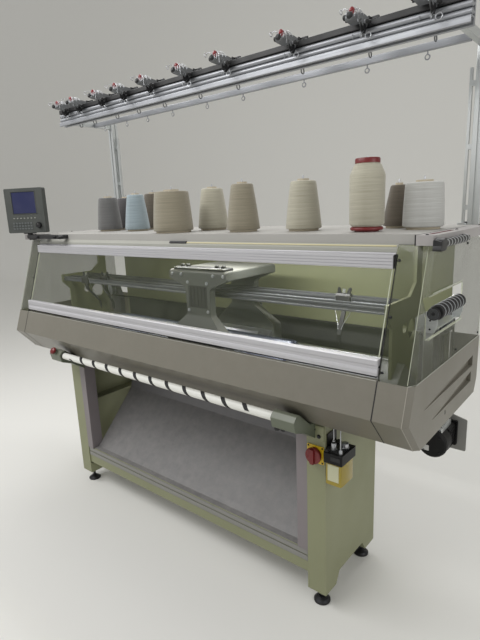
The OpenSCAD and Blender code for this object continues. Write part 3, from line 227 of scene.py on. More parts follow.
def effect(name, **inputs):
    """A shader group; an input is a number, a vector of three or a colour of four."""
    tree = bpy.data.node_groups.new(name, "ShaderNodeTree")
    for title, value in inputs.items():
        kind = "Float" if isinstance(value, float) else {3: "Vector", 4: "Color"}[len(value)]
        socket = tree.interface.new_socket(title, in_out="INPUT",
                                           socket_type="NodeSocket" + kind)
        socket.default_value = value
    for title, kind in (("Colour", "Color"), ("Roughness", "Float"), ("Normal", "Vector")):
        tree.interface.new_socket(title, in_out="OUTPUT", socket_type="NodeSocket" + kind)
    net = Net(tree)
    print("effect", name, "with inputs", list(inputs))
    return net, net.add("NodeGroupInput").outputs, net.add("NodeGroupOutput").inputs


# %% Enamel
net, given, out = effect("uneven_enamel", Colour=(0.3, 0.3, 0.3, 1), Roughness=0.4, Dust=0.2,
                         Peel=0.15)
colour, here = given["Colour"], net.here()
cloudy = net.noise(here, 3.5, 4.0)
fine = net.noise(here, 900.0, 1.0)
surface = net.add("ShaderNodeNewGeometry").outputs["Normal"]
facing = net.add("ShaderNodeSeparateXYZ", Vector=surface)
upward = net.math("MULTIPLY", net.math("MAXIMUM", facing.outputs["Z"], 0.0),
                  net.noise(here, 22.0, 5.0, 0.7))
dust = net.math("MULTIPLY", upward, given["Dust"], True)
shaded = net.mix(net.spread(cloudy, 0.35, 0.7, 0.0, 0.22), colour,
                 net.times(colour, (0.72, 0.72, 0.70)))
speck = net.mix(net.spread(fine, 0.35, 0.65, 0.0, 0.10), shaded,
                net.times(colour, (1.35, 1.35, 1.33)))
net.put(out["Colour"], net.mix(dust, speck, tone(196, 192, 184)))
net.put(out["Roughness"], net.total(given["Roughness"], net.spread(cloudy, 0.3, 0.7, -0.05, 0.07),
                                    net.math("MULTIPLY", dust, 0.5)))
net.put(out["Normal"], net.bump(net.noise(here, 420.0, 2.0), given["Peel"], 0.0006))

# %% Brushed metal
net, given, out = effect("brushed_metal", Colour=(0.7, 0.7, 0.7, 1), Roughness=0.3,
                         Grain=(3.0, 260.0, 260.0), Depth=0.15)
colour, here = given["Colour"], net.here()
stretched = net.add("ShaderNodeVectorMath", {"operation": "MULTIPLY"})
net.put(stretched.inputs[0], here)
net.put(stretched.inputs[1], given["Grain"])
lines = net.noise(stretched.outputs[0], 1.0, 5.0, 0.65)
stains = net.noise(here, 9.0, 4.0)
net.put(out["Colour"], net.mix(net.spread(lines, 0.3, 0.7, 0.0, 0.35), colour,
                               net.times(colour, (0.70, 0.70, 0.72))))
net.put(out["Roughness"], net.total(given["Roughness"], net.spread(lines, 0.3, 0.7, -0.06, 0.10),
                                    net.spread(stains, 0.4, 0.7, 0.0, 0.10)))
net.put(out["Normal"], net.bump(lines, given["Depth"], 0.0003))

# %% Moulded plastic
net, given, out = effect("moulded_grain", Colour=(0.1, 0.1, 0.1, 1), Roughness=0.5, Grain=700.0,
                         Depth=0.2)
colour, here = given["Colour"], net.here()
leather = net.add("ShaderNodeTexVoronoi", Vector=here, Scale=given["Grain"]).outputs["Distance"]
patch = net.noise(here, 14.0, 4.0)
net.put(out["Colour"], net.mix(net.spread(patch, 0.35, 0.75, 0.0, 0.35), colour,
                               net.mix(0.1, colour, (0.30, 0.29, 0.27, 1))))
net.put(out["Roughness"], net.total(given["Roughness"], net.spread(patch, 0.3, 0.7, -0.06, 0.12)))
net.put(out["Normal"], net.bump(leather, given["Depth"], 0.0003))

# %% [markdown]
# ## Finishes
# Each finish places one of those groups beside a Principled shader. What is the same all over
# a surface, such as metalness or coat, is set on the shader itself. The CAD pieces already have
# their true shape, so a finish goes on them as soon as it is made.

# %% Finish maker
dressed = set()


def finish(group, name, rgb, rough=None, metallic=0.0, on="", settings=None, **values):
    """A material from a shared effect; on names the CAD nodes that wear it."""
    material, shader = new_material(name)
    net = Net(material.node_tree)
    shared = net.add("ShaderNodeGroup", {"node_tree": bpy.data.node_groups[group]})
    if rough is not None:
        values["Roughness"] = rough
    for key, value in {"Colour": tone(*rgb), **values}.items():
        shared.inputs[key].default_value = value
    for key, source in (("Base Color", "Colour"), ("Roughness", "Roughness"), ("Normal", "Normal")):
        net.put(shader.inputs[key], shared.outputs[source])
    for key, value in {"Metallic": metallic, **(settings or {})}.items():
        shader.inputs[key].default_value = value
    material.diffuse_color = tone(*rgb)
    for node in on.split():
        slots = nodes[node].data.materials
        slots.clear()
        slots.append(material)
        dressed.add(node)
    return material


enamel, metal, plastic = (partial(finish, group) for group in (
    "uneven_enamel", "brushed_metal", "moulded_grain"))
print("finish makers:", finish.__name__, "and one for each shared effect")

# %% Enamels
enamel("cover_enamel", (112, 108, 97), 0.38, Dust=0.25,
       settings={"Coat Weight": 0.15, "Coat Roughness": 0.25},
       on="front_cover left_end_cover right_end_cover")
stand_paint = enamel("stand_enamel", (134, 136, 106), 0.45, Dust=0.3,
                     on="left_stand right_stand lower_beams")
enamel("inner_enamel", (112, 115, 86), 0.45, Dust=0.3,
       on="rear_cover carrier_rail_brackets")
# A paler copy of the cover enamel that paints the highlight on the covers' folded edges.
fold_highlight_paint = enamel("edge_enamel", (150, 146, 136), 0.34)
enamel("trim_enamel", (126, 119, 121), 0.4, on="stand_trims")
enamel("dark_enamel", (98, 98, 100), 0.42, on="pulley_brackets roller_brackets")
enamel("chute_enamel", (104, 103, 106), 0.4, Dust=0.5, on="fabric_chute")
enamel("table_enamel", (166, 164, 160), 0.42, Dust=0.25, on="yarn_table")
end_paint = enamel("end_piece_enamel", (164, 160, 159), 0.42, Dust=0.3,
                   on="table_end_pieces")
motor_paint = enamel("motor_enamel", (12, 12, 13), 0.42, Peel=0.3, Dust=0.04,
                     settings={"Specular IOR Level": 0.25}, on="servo_motor lubricator")
enamel("carriage_enamel", (76, 78, 74), 0.42, Peel=0.35, on="carriage_arch")
enamel("bracket_enamel", (98, 104, 88), 0.36, on="bar_brackets")
plate_paint = enamel("plate_enamel", (132, 131, 127), 0.42, Dust=0.3, on="motor_bracket")
white_paint = enamel("white_enamel", (226, 226, 220), 0.35, on="operating_bar")
enamel("yellow_enamel", (226, 190, 40), 0.35, on="switch_plate")
enamel("base_casting", (120, 122, 122), 0.5, Peel=0.5, on="bed_base")
header_paint = enamel("header_enamel", (164, 164, 156), 0.36, on="header_cover")
print("nodes in enamel:", len(dressed))

# %% Metals and plastics
aluminium = metal("anodised_aluminium", (206, 209, 208), 0.34, 0.85, on="feed_wheel_bracket")
metal("upright_aluminium", (206, 209, 208), 0.36, 0.85, Grain=(260.0, 260.0, 3.0),
      on="overhead_posts")
rail_finish = metal("anodised_rail", (198, 197, 200), 0.48, 0.45, Depth=0.04,
                    Grain=(4.0, 1100.0, 1100.0), on="window_top_rail window_bottom_rail")
metal("weathered_aluminium", (166, 168, 172), 0.42, 0.75, on="tension_rail guide_rail")
metal("carrier_rail_steel", (112, 114, 118), 0.4, 0.8, on="yarn_carrier_rails")
steel = metal("ground_steel", (190, 192, 195), 0.28, 0.95,
              on="carriage_rails cam_plates drive_pulley idler_pulley motor_pulley")
metal("bed_steel", (132, 138, 160), 0.34, 0.8, Grain=(260.0, 12.0, 12.0),
      on="front_needle_bed rear_needle_bed")
dark_steel = metal("blackened_steel", (58, 58, 60), 0.42, 0.9, on="levelling_feet")
# A dark, finely grained finish for the sheet low on the rear cover.
rear_dark_sheet = plastic("lining_foam", (46, 47, 46), 0.9, Grain=500.0, Depth=0.02)
black = plastic("black_moulding", (22, 22, 24), 0.45, on="wiring_duct front_outer_feeder "
                "front_inner_feeder rear_inner_feeder controller_arm controller_yoke "
                "controller_dial feed_wheels end_guide_bar")
unit_plastic = plastic("tension_unit_moulding", (104, 106, 108), 0.42, on="tension_units")
panel_plastic = plastic("controller_moulding", (66, 69, 66), 0.5, on="controller_case")
rubber = plastic("black_rubber", (24, 24, 25), 0.7, Grain=350.0,
                 on="drive_belt motor_belt front_take_down_roller rear_take_down_roller")
red_plastic = plastic("red_moulding", (108, 15, 17), 0.3, Depth=0.05,
                      on="stop_button switch_knob")
ceramic = plastic("white_ceramic", (232, 230, 224), 0.18, Depth=0.02)
print("finishes:", len(bpy.data.materials), "on", len(dressed), "nodes")

# %% [markdown]
# Clear panes are tinted acrylic. A low alpha lets the room's light reach the beds behind, while
# the surface keeps its gloss. The lamp caps are red acrylic with a faint glow of their own.

# %% Clear panes, lamp caps, bottle and screen


def clear(name, rgb, alpha, rough=0.06, on=""):
    """Acrylic, with smears that make it a little less clear in places."""
    material = plastic(name, rgb, rough, Depth=0.0, settings={"IOR": 1.49}, on=on)
    net = Net(material.node_tree)
    smear = net.spread(net.noise(net.here(), 5.0, 6.0, 0.7), 0.35, 0.75, alpha, alpha + 0.07)
    net.put(material.node_tree.nodes["Principled BSDF"].inputs["Alpha"], smear)
    return material


def glow(rgb, strength):
    return {"Emission Color": tone(*rgb), "Emission Strength": strength}


clear("tinted_acrylic", (128, 134, 112), 0.05, on="window_pane")
clear("end_acrylic", (74, 78, 54), 0.32, on="left_end_window right_end_window")
# A paler, less clear acrylic that paints the bright highlight along cut edges and folds of the
# panes.
bright = clear("acrylic_edge", (222, 226, 206), 0.62, 0.05)
plastic("lamp_acrylic", (118, 20, 28), 0.25, Depth=0.03,
        settings=glow((255, 60, 40), 0.03), on="lamp_caps")
bottle = plastic("oil_bottle", (150, 132, 44), 0.16, Depth=0.05)
screen_glass = plastic("screen_glass", (24, 28, 58), 0.12, Depth=0.0,
                       settings=glow((36, 42, 84), 0.35))
tube_card = plastic("paper_tube", (190, 180, 160), 0.8, Depth=0.05, on="yarn_cones")
print("CAD nodes without a finish:", sorted(set(nodes) - dressed))

# %% [markdown]
# ## Shapes for the small pieces
# Small pieces are built from closed solids: chamfered boxes, outlines drawn out along an axis,
# turned shapes and tubes. Every one is a stack of rings of points with a skin between the rings.

# %% A collector of solids
ROOT = "machine_frame"
SHARP = radians(38)


def circle(r, steps, h=0.0):
    """Points round the Z axis, at height h."""
    return [Vector((r * cos(2 * pi * k / steps), r * sin(2 * pi * k / steps), h))
            for k in range(steps)]


def straight(x, y, z):
    """A pattern's own millimetres, with no offset."""
    return Vector((x, y, z)) / 1000


class Shape:
    """Closed solids in millimetres, gathered in one mesh and handed over as one piece."""

    def __init__(self, place=at):
        self.work, self.place = bmesh.new(), place

    def skin(self, rings, loop=False):
        rows = [[self.work.verts.new(self.place(*p)) for p in ring] for ring in rings]
        n, m = len(rows), len(rows[0])
        for i in range(n if loop else n - 1):
            a, b = rows[i], rows[(i + 1) % n]
            for k in range(m):
                self.work.faces.new((a[k], a[(k + 1) % m], b[(k + 1) % m], b[k]))
        if not loop:
            self.work.faces.new(rows[0][::-1])
            self.work.faces.new(rows[-1])
        return self

    def box(self, low, high, edge=0.8):
        (x0, y0, z0), (x1, y1, z1) = low, high
        e = min(edge, (x1 - x0) / 2.5, (y1 - y0) / 2.5, (z1 - z0) / 2.5)

        def ring(z, d):
            a, b, c, g = x0 + d, x1 - d, y0 + d, y1 - d
            return [(a + e, c, z), (b - e, c, z), (b, c + e, z), (b, g - e, z),
                    (b - e, g, z), (a + e, g, z), (a, g - e, z), (a, c + e, z)]
        return self.skin([ring(z0, e), ring(z0 + e, 0), ring(z1 - e, 0), ring(z1, e)])

    def drawn(self, outline, axis, start, end):
        """An outline of the other two coordinates, drawn out along axis 0, 1 or 2."""
        return self.skin([[(*p[:axis], v, *p[axis:]) for p in outline] for v in (start, end)])

    def turned(self, place, direction, outline, steps=24, loop=False):
        """An outline of (radius, distance along direction), turned about that direction."""
        turn = Vector(direction).to_track_quat("Z", "Y")
        return self.skin([[tuple(Vector(place) + turn @ v) for v in circle(r, steps, h)]
                          for r, h in outline], loop)

    def tube(self, points, r, steps=8):
        path, rings, turn = [Vector(p) for p in points], [], None
        for i, p in enumerate(path):
            forward = (path[min(i + 1, len(path) - 1)] - path[max(i - 1, 0)]).normalized()
            if turn is None:
                turn = forward.to_track_quat("Z", "Y")
            else:
                turn = (turn @ Vector((0, 0, 1))).rotation_difference(forward) @ turn
            rings.append([tuple(p + turn @ v) for v in circle(r, steps)])
        return self.skin(rings)

    def mesh(self, name, material=None):
        bmesh.ops.recalc_face_normals(self.work, faces=self.work.faces)
        obj = mesh_object(name, [], [], material)
        self.work.to_mesh(obj.data)
        self.work.free()
        obj.data.shade_smooth()
        obj.data.set_sharp_from_angle(angle=SHARP)
        return obj

    def piece(self, name, material, body=ROOT):
        obj = self.mesh(name, material)
        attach(obj, body)
        print(name, "-", len(obj.data.polygons), "faces, on", body)
        return obj

    def pattern(self, name):
        """A shape for the node tree, which copies it; it is never shown itself."""
        obj = self.mesh(name)
        scene.collection.objects.unlink(obj)
        return obj


def arc(centre, r, start, end, steps, level=(0, 1)):
    """Points on an upright arc along a level direction, angles in degrees."""
    x, y, z = centre
    angles = [radians(start + (end - start) * i / steps) for i in range(steps + 1)]
    return [(x + level[0] * r * cos(a), y + level[1] * r * cos(a), z + r * sin(a))
            for a in angles]


def coil(start, direction, r, turns, pitch, steps=10):
    """Points of a coil spring that begins at start and runs along direction."""
    turn = Vector(direction).to_track_quat("Z", "Y")
    return [tuple(Vector(start) + turn @ Vector((
        r * cos(2 * pi * t / steps), r * sin(2 * pi * t / steps), pitch * t / steps)))
        for t in range(turns * steps + 1)]


print("shapes are gathered by", Shape.__name__)

# %% [markdown]
# ## Geometry Nodes for what repeats
# Screws, needles, belt teeth and the fittings of the yarn tension units all come from one node
# tree. It takes points that store a direction and a size, puts a pattern on every point, makes
# the copies real and sets the finish. The result becomes a plain mesh that rides on its body.

# %% The scatter tree
scatter_tree = bpy.data.node_groups.new("scatter_pattern", "GeometryNodeTree")
for title, way, kind in (("Geometry", "INPUT", "Geometry"), ("Pattern", "INPUT", "Object"),
                         ("Finish", "INPUT", "Material"), ("Geometry", "OUTPUT", "Geometry")):
    scatter_tree.interface.new_socket(title, in_out=way, socket_type="NodeSocket" + kind)
net = Net(scatter_tree)
given, out = net.add("NodeGroupInput").outputs, net.add("NodeGroupOutput").inputs
stored = {title: net.add("GeometryNodeInputNamedAttribute", {"data_type": kind}, Name=title)
          for title, kind in (("facing", "FLOAT_VECTOR"), ("size", "FLOAT"))}
turn = net.add("FunctionNodeAlignRotationToVector", {"axis": "Z"},
               Vector=stored["facing"].outputs[0])
pattern = net.add("GeometryNodeObjectInfo", Object=given["Pattern"])
copies = net.add("GeometryNodeInstanceOnPoints", Points=given["Geometry"],
                 Instance=pattern.outputs["Geometry"], Rotation=turn.outputs[0],
                 Scale=stored["size"].outputs[0])
real = net.add("GeometryNodeRealizeInstances", Geometry=copies.outputs[0])
coat = net.add("GeometryNodeSetMaterial", Geometry=real.outputs[0], Material=given["Finish"])
net.put(out["Geometry"], coat.outputs[0])


def scatter(name, pattern, material, rows, body=ROOT):
    """Copies to rows of (place in metres, direction, size), kept as one plain piece."""
    host = mesh_object(name + "_points", [place for place, _, _ in rows], [])
    for title, kind in (("facing", "FLOAT_VECTOR"), ("size", "FLOAT")):
        host.data.attributes.new(title, kind, "POINT")
    facing, size = (host.data.attributes[title].data for title in ("facing", "size"))
    for i, (_, direction, scale) in enumerate(rows):
        facing[i].vector, size[i].value = Vector(direction).normalized(), scale
    modifier = host.modifiers.new("scatter", "NODES")
    modifier.node_group = scatter_tree
    values = {"Pattern": pattern, "Finish": material}
    for item in scatter_tree.interface.items_tree:
        if item.in_out == "INPUT" and item.name in values:
            modifier[item.identifier] = values[item.name]
    bpy.context.view_layer.update()
    shown = host.evaluated_get(bpy.context.evaluated_depsgraph_get())
    mesh = bpy.data.meshes.new_from_object(shown)
    mesh.name = name
    piece = bpy.data.objects.new(name, mesh)
    scene.collection.objects.link(piece)
    bpy.data.objects.remove(host)
    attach(piece, body)
    print(name, "-", len(rows), "copies,", len(mesh.polygons), "faces, on", body)


def fix(name, rows, pattern, material, body=ROOT):
    """The same from rows of (place, direction, size) in the machine's millimetres."""
    scatter(name, pattern, material, [(at(*p), d, r) for p, d, r in rows], body)


# %% Screw patterns, one millimetre in radius
UP, DOWN = (0, 0, 1), (0, 0, -1)
LEFT, RIGHT = (-1, 0, 0), (1, 0, 0)
FRONT, BACK = (0, -1, 0), (0, 1, 0)
button = Shape(straight).turned((0, 0, -0.2), UP, [
    (1.0, 0), (1.0, 0.35), (0.9, 0.65), (0.6, 0.82), (0.55, 0.4), (0.05, 0.4)],
    16).pattern("button_head")
bolt = Shape(straight).turned((0, 0, -0.1), UP, [
    (1.35, 0), (1.35, 0.22), (1.0, 0.22), (1.0, 0.85), (0.86, 1.0), (0.05, 1.0)],
    12).pattern("hex_head")
print("patterns:", button.name, bolt.name)

# %% Screws of covers and brackets
TILT, WINDOW_FOOT = radians(18), 2
COVER_TOP, COVER_SIDE, PANE_SIDE, TABLE_TOP = 1100, 1250, 1248, 1560
CONTROLLER_X, POST_Y, MOTOR = -1155, 800, (1150, 665)
SWITCH_X, SWITCH_Z, SWITCH_SCREWS = 842, 710, (-31, 31)


def window_line(z):
    """Where the window's outer face lies at height z."""
    return WINDOW_FOOT + (z - COVER_TOP) * tan(TILT)


rows = []
for s in SIDES:
    rows += [((s * 1143, window_line(z), z), (0, -cos(TILT), sin(TILT)), 5)
             for z in (1128, 1300, 1478)]
    rows += [((s * PANE_SIDE, y, z), (s, 0, 0), 5)
             for y, z in ((430, 1118), (730, 1118), (730, 1500), (500, 1506))]
    rows += [((s * 1230, y, TABLE_TOP), UP, 5) for y in (120, 420, 720)]
    rows += [((s * x, 757, z), BACK, 5) for x in (30, 560, 1100) for z in (880, 1200, 1500)]
fix("cover_screws", rows, button, dark_steel)
rows = [((x, 96.2, z), FRONT, 6.5) for x, z in ((835, 815), (858, 789))]
rows += [((SWITCH_X + x, 96, SWITCH_Z + z), FRONT, 3) for x in SWITCH_SCREWS
         for z in SWITCH_SCREWS]
rows += [((s * 1163, POST_Y + y, 1568), UP, 5) for s in SIDES for y in (-26, 26)]
fix("front_bolts", rows, bolt, dark_steel)
rows = [((CONTROLLER_X + x, 72, 1546), FRONT, 6) for x in (110, 300)]
rows += [((MOTOR[0] + x, 696, MOTOR[1] + z), BACK, 6) for x in (-46, 46) for z in (-46, 46)]
rows += [((1233, 175, 1302 + z), FRONT, 3.4) for z in (-54, -24)]
rows += [((s * 638, y, 790), (s, 0, 0), 6) for s in SIDES for y in (200, 440)]
fix("bracket_bolts", rows, button, dark_steel)

# %% [markdown]
# ## Needles and the bands that hold them
# Each bed holds hundreds of flat needles in slots cut across it. A line of points along the gap
# carries one long thin needle each, its butt standing up for the cams. Two flat bands in their
# seats keep the needles from lifting.

# %% Needles and bands
SLOPE = radians(40)
BED_Y, BED_Z, BED_THICK, FACING_BED = 308, 1095, 12, 640
NEEDLES, PITCH, BAND_END = 198, 6.0, 597


def both_beds(points):
    """Outlines on both beds: v down the slope and w above its face become (y, z)."""
    c, s = cos(SLOPE), sin(SLOPE)
    front = [(BED_Y - v * c - w * s, BED_Z - (v + BED_THICK / c) * s + w * c) for v, w in points]
    return (("front", front), ("rear", [(FACING_BED - y, z) for y, z in front]))


line = [(((i - (NEEDLES - 1) / 2) * PITCH / 1000, 0, 0), UP, 1) for i in range(NEEDLES)]
for side, outline in both_beds(((10, 0.2), (10, 1.6), (4, 2.2), (60, 2.2), (62, 5.5), (66, 5.5),
                                (68, 2.2), (118, 2.2), (120, 0.2))):
    needle = Shape().drawn(outline, 0, -0.7, 0.7).pattern(side + "_needle")
    scatter(side + "_needles", needle, steel, line)
bands = Shape()
for v in (38.4, 120.4):
    for _, outline in both_beds(((v, -2.9), (v, -0.2), (v + 11.2, -0.2), (v + 11.2, -2.9))):
        bands.drawn(outline, 0, -BAND_END, BAND_END)
bands.piece("needle_bands", steel)

# %% [markdown]
# ## Yarn packages
# A cone of yarn shows crossing threads, because the winder swings to and fro as the cone turns.
# Each package is turned from an outline and keeps its own UV map, turns round by height, so that
# two sets of slanting lines can cross on it in the finish.

# %% Winding effect and yarn finishes
net, given, out = effect("cross_winding", Colour=(0.8, 0.8, 0.8, 1), Threads=420.0, Depth=0.5)
winding = net.add("ShaderNodeUVMap", {"uv_map": "winding"}).outputs["UV"]
spot = net.add("ShaderNodeSeparateXYZ", Vector=winding)
around, along = spot.outputs["X"], spot.outputs["Y"]
fluff = net.noise(net.here(), 260.0, 3.0, 0.7)
heights = []
for slant in (2.0, -3.0):
    ramp = net.total(net.math("MULTIPLY", along, given["Threads"]),
                     net.math("MULTIPLY", around, slant))
    heights.append(net.math("SINE", net.math("MULTIPLY", net.total(ramp, fluff), 6.2832)))
thread = net.math("MAXIMUM", *heights)
wraps = net.add("ShaderNodeCombineXYZ", X=net.math("MULTIPLY", around, 2.0),
                Y=net.math("MULTIPLY", along, 300.0)).outputs[0]
layers = net.noise(wraps, 1.0, 3.0, 0.7)
wound = net.math("ADD", net.spread(thread, -0.6, 1.0, 0.1, 0.45),
                 net.spread(layers, 0.3, 0.6, 0.0, 0.5), True)
net.put(out["Colour"], net.mix(wound, net.times(given["Colour"], (0.55, 0.53, 0.50)),
                               given["Colour"]))
net.put(out["Roughness"], net.spread(fluff, 0.3, 0.7, 0.78, 0.95))
fuzz = net.total(thread, net.math("MULTIPLY", fluff, 1.5))
net.put(out["Normal"], net.bump(fuzz, given["Depth"], 0.0006))
YARNS = {"cream": (192, 188, 170), "beige": (156, 149, 130), "white": (204, 205, 202),
         "grey": (112, 112, 112), "pale_blue": (160, 176, 184), "brown": (104, 96, 84),
         "dark": (92, 90, 92)}
yarns = {name: finish("cross_winding", name + "_yarn", rgb, settings={"Sheen Weight": 0.3})
         for name, rgb in YARNS.items()}
flange_red = plastic("bobbin_flange", (112, 26, 28), 0.35, Depth=0.02)
print("yarns:", list(yarns))

# %% [markdown]
# The turned outline runs from the inside of the tube, round the package and back, so that every
# package is one closed shell. Its wound part takes the yarn's colour, the rest is the tube's.

# %% Turned packages
PIN_R, BORE = 3.6, 4.3
pins = Shape()


def package(name, x, y, outline, materials, of_tube, pin, steps=72):
    """outline is above the table; of_tube lists its steps in the second material."""
    foot = Vector((x, y, TABLE_TOP + 0.4))
    piece = Shape().skin([[foot + v for v in circle(r, steps, z)] for r, z in outline],
                         loop=True).mesh(name)
    for material in materials:
        piece.data.materials.append(material)
    layer = piece.data.uv_layers.new(name="winding")
    heights = [z for _, z in outline + outline[:1]]
    for face in piece.data.polygons:
        k, i = divmod(face.index, steps)
        face.material_index = int(k in of_tube)
        for corner, (du, dk) in zip(face.loop_indices, ((0, 0), (1, 0), (1, 1), (0, 1))):
            layer.data[corner].uv = ((i + du) / steps, heights[k + dk] / 1000)
    piece.data.set_sharp_from_angle(angle=radians(50))
    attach(piece, ROOT)
    pins.turned((x, y, TABLE_TOP - 1), UP, [
        (PIN_R, 0), (PIN_R, pin), (PIN_R - 1, pin + 4)], 12)
    return piece


def cone_outline(low, high, h):
    """A cone from its lowest to its highest winding, on a tube that shows at both ends."""
    tube = high * 0.45
    side = [(low + (high - low) * (t / 6) + 1.2 * sin(pi * t / 6), 14 + (h - 22) * t / 6)
            for t in range(7)]
    return ([(BORE, 0), (low - 14, 0), (low - 12, 9), (low - 5, 9.4), (low - 1.5, 11)] + side
            + [(high - 2, h - 3), (high - 6, h), (tube + 8, h - 1.5), (tube, h - 2),
               (tube, h + 8), (tube - 4, h + 8), (tube - 4, 12), (BORE, 12)])


CONES = [  # place on the table, lowest and highest radius, height and yarn
    (-840, 450, 74, 56, 200, "grey"), (-910, 640, 72, 54, 200, "dark"),
    (-560, 440, 72, 48, 205, "pale_blue"), (-640, 640, 74, 50, 215, "brown"),
    (-70, 270, 99, 84, 198, "beige"), (-10, 500, 80, 56, 210, "cream"),
    (330, 330, 76, 50, 210, "beige"), (620, 380, 76, 54, 205, "cream"),
    (960, 560, 62, 34, 170, "brown"), (1100, 450, 74, 68, 170, "white")]
BOBBIN = [(BORE, 0), (44.8, 0), (44.8, 5), (58, 5), (60, 7), (60, 13), (58, 16), (52, 18),
          (60, 23), (64, 30), (64, 200), (62, 208), (50, 236), (43, 243), (45, 244), (45, 258),
          (43, 262), (BORE, 262)]
for i, (x, y, low, high, h, colour) in enumerate(CONES, 1):
    outline = cone_outline(low, high, h)
    n = len(outline)
    package("yarn_cone_%02d" % i, x, y, outline, (yarns[colour], tube_card),
                         {0, 1, *range(n - 6, n)}, h + 20)
package("yarn_bobbin", 940, 310, BOBBIN, (yarns["cream"], flange_red),
                     {*range(7), *range(14, 18)}, 266)
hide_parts("yarn_cones")
pins.piece("cone_pins", steel)

# %% [markdown]
# ## Yarn tension units
# Every unit on the top rail has the same fittings: coil springs and thread guides of wire, dark
# knobs and a bracket, and a pale catcher housing. Each kind is one pattern, copied to the places
# of all ten units.

# %% Wires of a tension unit
wires = Shape()
for y in (394, 410):
    wires.tube(coil((36.5, y, 2303), RIGHT, 5.0, 2, 1.8), 0.8, 6)
wires.tube(coil((-26, 384, 2330), FRONT, 4.0, 8, 2.6), 0.8, 6)
wires.tube([(-12, 372, 2332), (-13, 358, 2345), (-18, 348, 2348), (-24, 342, 2342)]
           + arc((-24, 334, 2334), 8, 60, -270, 14), 1.6)
wires.tube([(30, 402, 2268), (40, 400, 2262), (48, 398, 2266)]
           + arc((52, 398, 2256), 11, 100, -230, 16, (1, 0)), 1.8)
for x in (-17, -6, 5, 16):
    wires.tube([(x, y, z) for y, z in ((360, 2318), (362, 2338), (376, 2350), (400, 2352),
                                       (420, 2346), (428, 2334))], 1.2)
for y in (368, 392, 416):
    wires.tube([(x, y, z) for x, z in ((-24, 2316), (-22, 2338), (-12, 2350), (12, 2350),
                                       (24, 2338), (26, 2300))], 1.2)
wires.tube([(30, 424, 2312), (33, 404, 2280), (32, 384, 2262)]
           + arc((32, 378, 2256), 7, 40, -280, 12), 1.2)
wires.tube([(-24, 440, 2322), (-26, 440, 2296), (-26, 434, 2284)]
           + arc((-26, 434, 2276), 8, 90, -240, 12), 1.2)

# %% Knobs and housings, and all ten units
UNIT_X = [-1150, -1000, -770, -570, -350, -80, 170, 530, 840, 1090]
knobs, housing = Shape(), Shape()
for y in (394, 410):
    knobs.turned((45.5, y, 2303), RIGHT, [(7.5, 0), (7.5, 6), (6, 8)], 12)
knobs.turned((-21, 372, 2326), LEFT, [(9, 0), (9.5, 2), (9.5, 12), (7, 14)], 18)
knobs.turned((-21, 396, 2322), LEFT, [(5, 0), (5, 16), (3.5, 18)], 12)
knobs.turned((27.5, 402, 2290), RIGHT, [
    (22, 0), (24, 1.5), (24, 3.5), (14, 5), (14, 8), (6, 9)], 28)
knobs.turned((6, 346, 2318), (0, -0.97, 0.26), [(9, 0), (12, 3), (12, 9), (7, 14)], 20)
knobs.box((18, 462, 2320), (24, 492, 2344), 1).box((22, 484, 2338), (52, 493, 2346), 1)
knobs.box((46, 484, 2322), (52, 493, 2340), 1).box((-19, 478, 2334), (10, 500, 2340), 2)
knobs.turned((0, 505, 2326), UP, [(6, 0), (6, 12), (4.5, 14)], 12)
for x in (-15, -5, 5):
    housing.box((x, 384, 2328), (x + 4, 470, 2343.5), 1.5)
housing.box((-21.5, 364, 2322), (-2, 388, 2345), 4).box((4, 368, 2320), (21.5, 384, 2336), 3)
for name, shape, material in (("unit_wires", wires, steel),
                              ("unit_knobs", knobs, black),
                              ("unit_housings", housing, end_paint)):
    scatter(name, shape.pattern(name + "_pattern"), material,
            [((x / 1000, 0, 0), UP, 1) for x in UNIT_X])

# %% [markdown]
# Thread eyes are glazed ceramic, because running yarn would cut a groove in plastic. The rings
# on the guide bar at the table's right end have steel washers.

# %% Ceramic eyes and steel washers
EYE_R, EYE_THICK = 6.0, 1.8
eye = Shape(straight).skin([
    [(cos(a) * (EYE_R + EYE_THICK * cos(b)), sin(a) * (EYE_R + EYE_THICK * cos(b)),
      EYE_THICK * sin(b)) for b in (2 * pi * k / 8 for k in range(8))]
    for a in (2 * pi * k / 20 for k in range(20))], loop=True).pattern("ceramic_eye")
rows = [((x - 70, 650, 2205), FRONT, 1.0) for x in UNIT_X if abs(x - 70) < 1150]
fix("guide_rail_eyes", rows, eye, ceramic)
washers = Shape()
for i in range(8):
    washers.turned((1276, 146.2 + 30 * i, 1534), BACK, [
        (11.4, 0), (12.8, 0.8), (12.8, 10.2), (11.4, 11.0)])
washers.piece("guide_ring_washers", steel)
Shape().drawn([(77, 1517), (79, 1528), (88, 1543), (98, 1550), (112, 1552), (126, 1551),
               (127, 1517), (120, 1514), (84, 1513)], 0, 1261.6, 1288.6).piece(
    "guide_bar_cap", black)

# %% [markdown]
# ## The operating bar and the window
# Black tape winds round the bar so that fingers don't slip. The window's upper rail has black
# end caps, the lower one ends in its own metal with a screw in it, a pale strip on each side
# edge of the pane is a painted highlight, and soft strips beside the pane keep the lint in.

